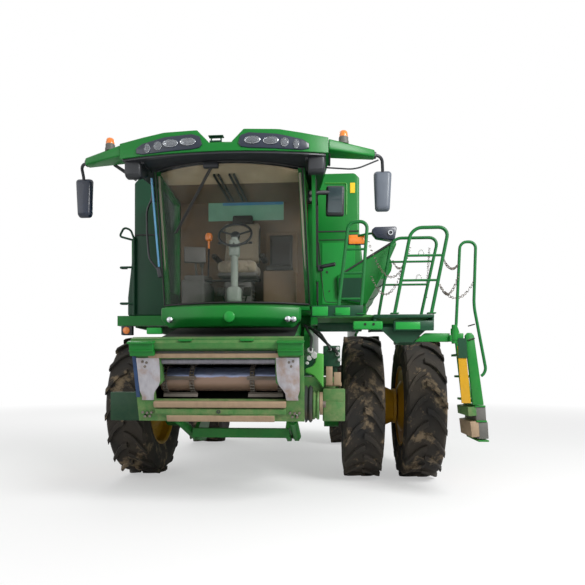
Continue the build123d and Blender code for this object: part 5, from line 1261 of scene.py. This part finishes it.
# a blue streak along the right glass edge: painted sky reflection
glassEdge = bentBar("glassEdge", [(-0.842, -1.9, 3.55), (-0.868, -1.63, 2.9), (-0.876, -1.53, 2.66)], 0.012)
finished(glassEdge, paintedSkyGlow)
stays = [bentBar("stay", [(-1.257, -1.9, 3.7), (-1.012, -1.9, 3.531)], 0.014), bentBar("stay",
    [(-1.24, -1.93, 3.7), (-1.0, -1.93, 3.545)], 0.008), bentBar("stay", [(1.04, -1.95, 3.593),
    (1.36, -1.93, 3.572), (1.6, -1.91, 3.672)], 0.008, 0.08)]
finished(joined(stays, "mirrorStays"), blackPlastic)
rootJoints = [softBox("rootJoint", (side * 1.083, -1.93, 3.735), (0.03, 0.31, 0.135),
    0.01) for side in (1, -1)]
finished(joined(rootJoints, "wingJoints"), blackPlastic)
print("front done")

# ---- unloading auger's boot and elbow

boot = facingPlate("augerBoot", 0.0, 0.42, ((1.185, 2.804), (1.297, 2.835), (1.853, 2.842), (1.6, 2.39),
    (1.531, 2.385), (1.308, 2.43), (1.197, 2.523)))
finished(rounded(boot, 0.05, 5, 20), greenEnamel)
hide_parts("auger_boot")
guard = facingPlate("bootGuard", -0.785, 0.06, ((1.276, 2.700), (1.915, 3.088), (1.927, 3.051),
    (1.775, 2.703), (1.549, 2.293), (1.486, 2.294), (1.287, 2.335), (1.186, 2.411), (1.175, 2.664)))
finished(rounded(guard, 0.02, 3, 20), greenEnamel)
guardLip = bentBar("guardLip", [(1.27, -0.785, 2.702), (1.92, -0.785, 3.095)], 0.012)
finished(guardLip, castIron, slot="dark_steel")
# a dark plate laid in the guard's hollow: painted shade
guardHollowShade = facingPlate("guardHollowShade", -0.79, 0.006, ((1.203, 2.629), (1.489, 2.629), (1.510, 2.311),
    (1.295, 2.352), (1.203, 2.424)))
finished(guardHollowShade, darkGreenAndShade)
flange = bentBar("augerFlange", [(1.56, -0.01, 2.846), (1.7, -0.03, 2.838), (1.85, -0.01, 2.852)], 0.012,
    0.05)
finished(flange, darkGreenAndShade)
augerTube = softened("unloading_auger", "augerTube", 0.006)
bisected(augerTube, (0, 0.42, 0), (0, 1, 0), use_fill=True, clear_inner=True)
finished(augerTube, greenEnamel, "auger")
# the elbow takes the paler green of its lit upper face: painted light
elbow = facingPlate("augerElbow", 0.0, 0.5, ((1.31, 2.86), (2.0, 3.27), (2.02, 3.235), (1.857, 2.86)))
finished(rounded(elbow, 0.04, 4, 20), litGreen, "auger")
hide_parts("unloading_auger")
elbowLip = bentBar("elbowLip", [(1.3, -0.01, 2.85), (2.0, -0.01, 3.28)], 0.014)
finished(elbowLip, castIron, "auger", slot="dark_steel")
bands = []
for y in (1.2, 2.6, 4.0, 5.4):
    bands.append(spunShape("band", [(-0.02, 0.2), (-0.02, 0.214), (0.02, 0.214), (0.02, 0.2)], (1.8, y, 3.01),
        48, (0, 1, 0)))
finished(joined(bands, "augerBands"), darkGreenAndShade, "auger")
print("auger done")

# ---- platform and ladder

walk = [softBox("deckSheet", (1.88, -1.355, 2.048), (0.64, 0.85, 0.024), 0.003, 1), softBox("walkSheet",
    (1.255, -1.335, 2.048), (0.61, 0.81, 0.024), 0.003, 1)]
for row in range(12):
    walk.append(startBox("tread", (1.88, -1.72 + 0.07 * row, 2.063), (0.6, 0.012, 0.006)))
    walk.append(startBox("tread", (1.255, -1.7 + 0.07 * row, 2.063), (0.56, 0.012, 0.006)))
deckPiece = finished(joined(walk, "platformSheets"), dustyGreen)
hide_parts("platform_deck")
beams = [softBox("topBar", (1.88, -1.79, 2.04), (0.64, 0.02, 0.035), 0.004), softBox("frontBeam",
    (1.985, -1.785, 1.937), (0.425, 0.03, 0.105), 0.006), softBox("endPlate", (2.19, -1.36, 1.99),
    (0.02, 0.86, 0.14), 0.004), softBox("innerBeam", (1.575, -1.36, 1.98), (0.03, 0.84, 0.1), 0.004),
    softBox("rearBeam", (1.88, -0.945, 1.99), (0.62, 0.03, 0.11), 0.004),
    softBox("walkBeam", (1.2, -1.5, 1.95), (0.5, 0.05, 0.1), 0.006),
    softBox("rearToe", (1.8, -0.93, 2.1), (0.6, 0.01, 0.04), 0.003)]
finished(joined(beams, "platformBeams"), darkGreenAndShade)
inset = softBox("beamInset", (1.922, -1.804, 1.936), (0.26, 0.008, 0.078), 0.003)
finished(inset, litGreen)
channel = softBox("walkChannel", (1.5, -1.76, 1.945), (0.32, 0.06, 0.092), 0.02, 4)
finished(channel, litGreen)
# the holes are dark discs: painted shade
channelHoles = [startRound("hole", (x, -1.792, 1.955), 0.014, 0.008, 16, lyingAlong) for x in (1.47, 1.56)]
finished(joined(channelHoles, "channelHoles"), paintedShadeBlack)
toeBoard = softBox("toeBoard", (1.17, -1.735, 2.105), (0.56, 0.012, 0.125), 0.004)
finished(toeBoard, darkGreenAndShade)
toePlates = [softBox("toePlate", (0.985, -1.746, 2.105), (0.17, 0.01, 0.1), 0.004), softBox("toePlate",
    (1.23, -1.746, 2.1), (0.16, 0.01, 0.085), 0.004)]
finished(joined(toePlates, "toePlates"), litGreen)
gusset = facingPlate("ladderGusset", -1.725, 0.02, ((1.62, 1.93), (1.81, 1.745), (1.853, 1.765),
    (1.99, 1.765), (2.12, 1.89), (2.12, 1.93)))
under = softBox("underBlock", (1.93, -1.5, 1.83), (0.22, 0.3, 0.16), 0.02)
finished(joined([gusset, under], "ladderGusset"), darkGreenAndShade)
arm = facingPlate("ladderArm", -1.75, 0.06, ((2.0, 1.768), (2.11, 1.86), (2.374, 1.858), (2.374, 1.765)))
armParts = [rounded(arm, 0.008), startRound("hingePost", (2.42, -1.76, 1.845), 0.03, 0.2, 24),
    softBox("hingeEar", (2.39, -1.76, 1.8), (0.05, 0.05, 0.07), 0.006)]
finished(joined(armParts, "ladderArm"), greenEnamel)

ladderParts = []
for y in (-1.76, -1.284):
    ladderParts.append(rounded(facingPlate("stringer", y, 0.034, ((2.53, 1.83), (2.555, 1.86), (2.6, 1.86),
        (2.625, 1.83), (2.728, 1.09), (2.612, 1.09))), 0.006))
for x, z in ((2.64, 1.62), (2.675, 1.38), (2.71, 1.125)):
    ladderParts.append(softBox("tread", (x - 0.075, -1.5, z + 0.013), (0.15, 0.46, 0.026), 0.004))
ladderParts.append(softBox("hingeLug", (2.46, -1.76, 1.81), (0.1, 0.05, 0.09), 0.008))
ladderParts.append(startRound("hingeBarrel", (2.42, -1.76, 1.845), 0.04, 0.12, 24))
ladderParts.append(facingPlate("hingePoint", -1.775, 0.03, ((2.39, 1.86), (2.47, 1.86), (2.436, 1.96))))
for z in (1.075, 0.915, 0.705):
    ladderParts.append(softBox("stepLip", (2.69 + (1.075 - z) * 0.1, -1.5, z), (0.11, 0.52, 0.018), 0.003))
ladderPiece = finished(joined(ladderParts, "boardingLadder"), greenEnamel, "ladder")
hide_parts("boarding_ladder")
darkCheek = facingPlate("ladderCheek", -1.795, 0.01,
    ((2.45, 1.8), (2.534, 1.8), (2.55, 1.589), (2.452, 1.589)))
finished(darkCheek, darkGreenAndShade, "ladder")
yellowBack = facingPlate("ladderBack", -1.785, 0.012, ((2.445, 1.717), (2.53, 1.716), (2.585, 1.11),
    (2.49, 1.11)))
finished(yellowBack, yellowEnamel, "ladder")
steps = [softBox("step", (2.7, -1.5, 0.995), (0.105, 0.5, 0.15), 0.008, turn=(0, -0.06, 0)), softBox("step",
    (2.725, -1.5, 0.815), (0.105, 0.5, 0.18), 0.008, turn=(0, -0.06, 0))]
finished(joined(steps, "ladderSteps"), greyPlastic, "ladder")
stepSides = [softBox("stepSide", (2.61, -1.5, 1.02), (0.09, 0.5, 0.1), 0.006, turn=(0, -0.1, 0))]
finished(joined(stepSides, "stepSides"), dustyGreen, "ladder")
stepInner = softBox("stepInner", (2.64, -1.5, 0.83), (0.09, 0.5, 0.17), 0.006, turn=(0, -0.12, 0))
finished(stepInner, dustySill, "ladder", slot="dark_steel")
hooks = [bentBar("hook", [(2.56, -1.77, z), (2.63, -1.77, z + 0.02)], 0.007) for z in (1.93, 1.78)]
finished(joined(hooks, "ladderHooks"), blackEnamel, "ladder")


def linkChain(name, start, end, sag, count):
    # round links, every second one turned on its side, hanging between two machine places
    links = []
    for index in range(count + 1):
        share = index / count
        spot = [a + (b - a) * share for a, b in zip(start, end)]
        spot[2] -= 4 * sag * share * (1 - share)
        deselect()
        bpy.ops.mesh.primitive_torus_add(major_segments=10, minor_segments=5, major_radius=0.012,
            minor_radius=0.0035, location=place(*spot),
            rotation=(math.pi / 2 if index % 2 else 0.2, 0.3, index * 0.4))
        links.append(settle(bpy.context.object))
    return finished(joined(links, name), chainSteel)


for index, (start, end, sag) in enumerate((((1.51, -1.72, 2.86), (1.9, -1.4, 2.6), 0.2),
    ((1.55, -1.6, 2.5), (1.86, -1.77, 2.52), 0.22), ((2.06, -1.0, 2.95), (1.86, -0.95, 2.8), 0.16),
    ((2.3, -1.76, 2.66), (2.45, -1.76, 2.58), 0.07), ((2.25, -1.76, 2.4), (2.62, -1.76, 2.4), 0.17),
    ((2.27, -1.76, 2.36), (2.46, -1.77, 2.48), 0.14), ((2.3, -0.95, 2.95), (2.26, -0.95, 2.35), 0.0))):
    linkChain(f"railChain{index}", start, end, sag, 22)
rings = []
for x, z in ((2.07, 2.7), (2.045, 2.435)):
    rings.append(bentBar("ring", [(x - 0.03, -1.77, z), (x - 0.02, -1.77, z + 0.05),
        (x + 0.02, -1.77, z + 0.05), (x + 0.03, -1.77, z)], 0.006, 0.02))
finished(joined(rings, "railRings"), zincPlate, slot="dark_steel")
print("platform done")

# ---- studio

studio = {
    "lens": 33.74, "shiftX": 0.004, "shiftY": 0.138,
    "eye": (1.092, -7.733, 1.428), "yaw": 4.15,
    "key": {"place": (7.5, -8.0, 7.5), "size": 4.5, "watts": 1250},
    "fill": {"place": (-8.0, -8.0, 4.0), "size": 7.0, "watts": 170},
    "back": {"place": (-3.0, 11.0, 8.0), "size": 8.0, "watts": 500},
    "sky": 0.46, "aimHeight": 1.8, "floor": 240, "fadeFrom": 6.0, "fadeTo": 19.0,
}

camera = bpy.data.objects.new("camera", bpy.data.cameras.new("camera"))
scene.collection.objects.link(camera)
camera.location = place(*studio["eye"])
camera.rotation_euler = (math.radians(90), 0, math.radians(studio["yaw"]))
camera.data.lens = studio["lens"]
camera.data.shift_x = studio["shiftX"]
camera.data.shift_y = studio["shiftY"]
camera.data.clip_end = 500
scene.camera = camera

for name in ("key", "fill", "back"):
    setup = studio[name]
    lamp = bpy.data.objects.new(name, bpy.data.lights.new(name, "AREA"))
    scene.collection.objects.link(lamp)
    lamp.data.energy = setup["watts"]
    lamp.data.size = setup["size"]
    lamp.location = place(*setup["place"])
    aim = place(0, 0, studio["aimHeight"]) - lamp.location
    lamp.rotation_euler = aim.to_track_quat("-Z", "Y").to_euler()

world = bpy.data.worlds.new("studio")
scene.world = world
world.use_nodes = True
skyTree = world.node_tree
skyTree.nodes.clear()
rays = addNode(skyTree, "ShaderNodeLightPath")
seen = maths(skyTree, "MAXIMUM", rays.outputs["Is Camera Ray"], rays.outputs["Is Transmission Ray"])
seen = maths(skyTree, "MAXIMUM", seen, rays.outputs["Is Glossy Ray"])
soft = addNode(skyTree, "ShaderNodeBackground", {"Color": (1, 1, 1, 1), "Strength": studio["sky"]})
white = addNode(skyTree, "ShaderNodeBackground", {"Color": (1, 1, 1, 1), "Strength": 1.0})
mixed = addNode(skyTree, "ShaderNodeMixShader", {}, {0: seen, 1: soft.outputs[0], 2: white.outputs[0]})
addNode(skyTree, "ShaderNodeOutputWorld", {}, {0: mixed.outputs[0]})

bpy.ops.object.select_all(action="DESELECT")
bpy.ops.mesh.primitive_plane_add(size=studio["floor"], location=(0, 0, 0))
floor = bpy.context.object
floor.name = "floor"
floorPaint, floorTree, floorShader, floorWhere = newMaterial("paleFloor")
setInputs(floorShader, {"Base Color": (0.8, 0.8, 0.8, 1), "Roughness": 0.9})
floorRays = addNode(floorTree, "ShaderNodeLightPath")
glow = addNode(floorTree, "ShaderNodeEmission", {"Color": (1, 1, 1, 1), "Strength": 1.0})
matte = addNode(floorTree, "ShaderNodeBsdfDiffuse", {"Color": (0.98, 0.98, 0.98, 1)})
# far from the machine the floor turns as white as what is behind it
spread = addNode(floorTree, "ShaderNodeVectorMath", {"operation": "LENGTH"}, {0: floorWhere})
fade = ranged(floorTree, spread.outputs["Value"], studio["fadeFrom"], studio["fadeTo"], 0.45)
lit = addNode(floorTree, "ShaderNodeMixShader", {}, {0: fade, 1: matte.outputs[0], 2: glow.outputs[0]})
floorSeen = addNode(floorTree, "ShaderNodeMixShader", {}, {0: floorRays.outputs["Is Camera Ray"],
    1: floorShader.outputs[0], 2: lit.outputs[0]})
floorTree.links.new(floorSeen.outputs[0], floorTree.nodes["Material Output"].inputs["Surface"])
floor.data.materials.append(floorPaint)

scene.view_settings.view_transform = "Standard"
print("studio ready")
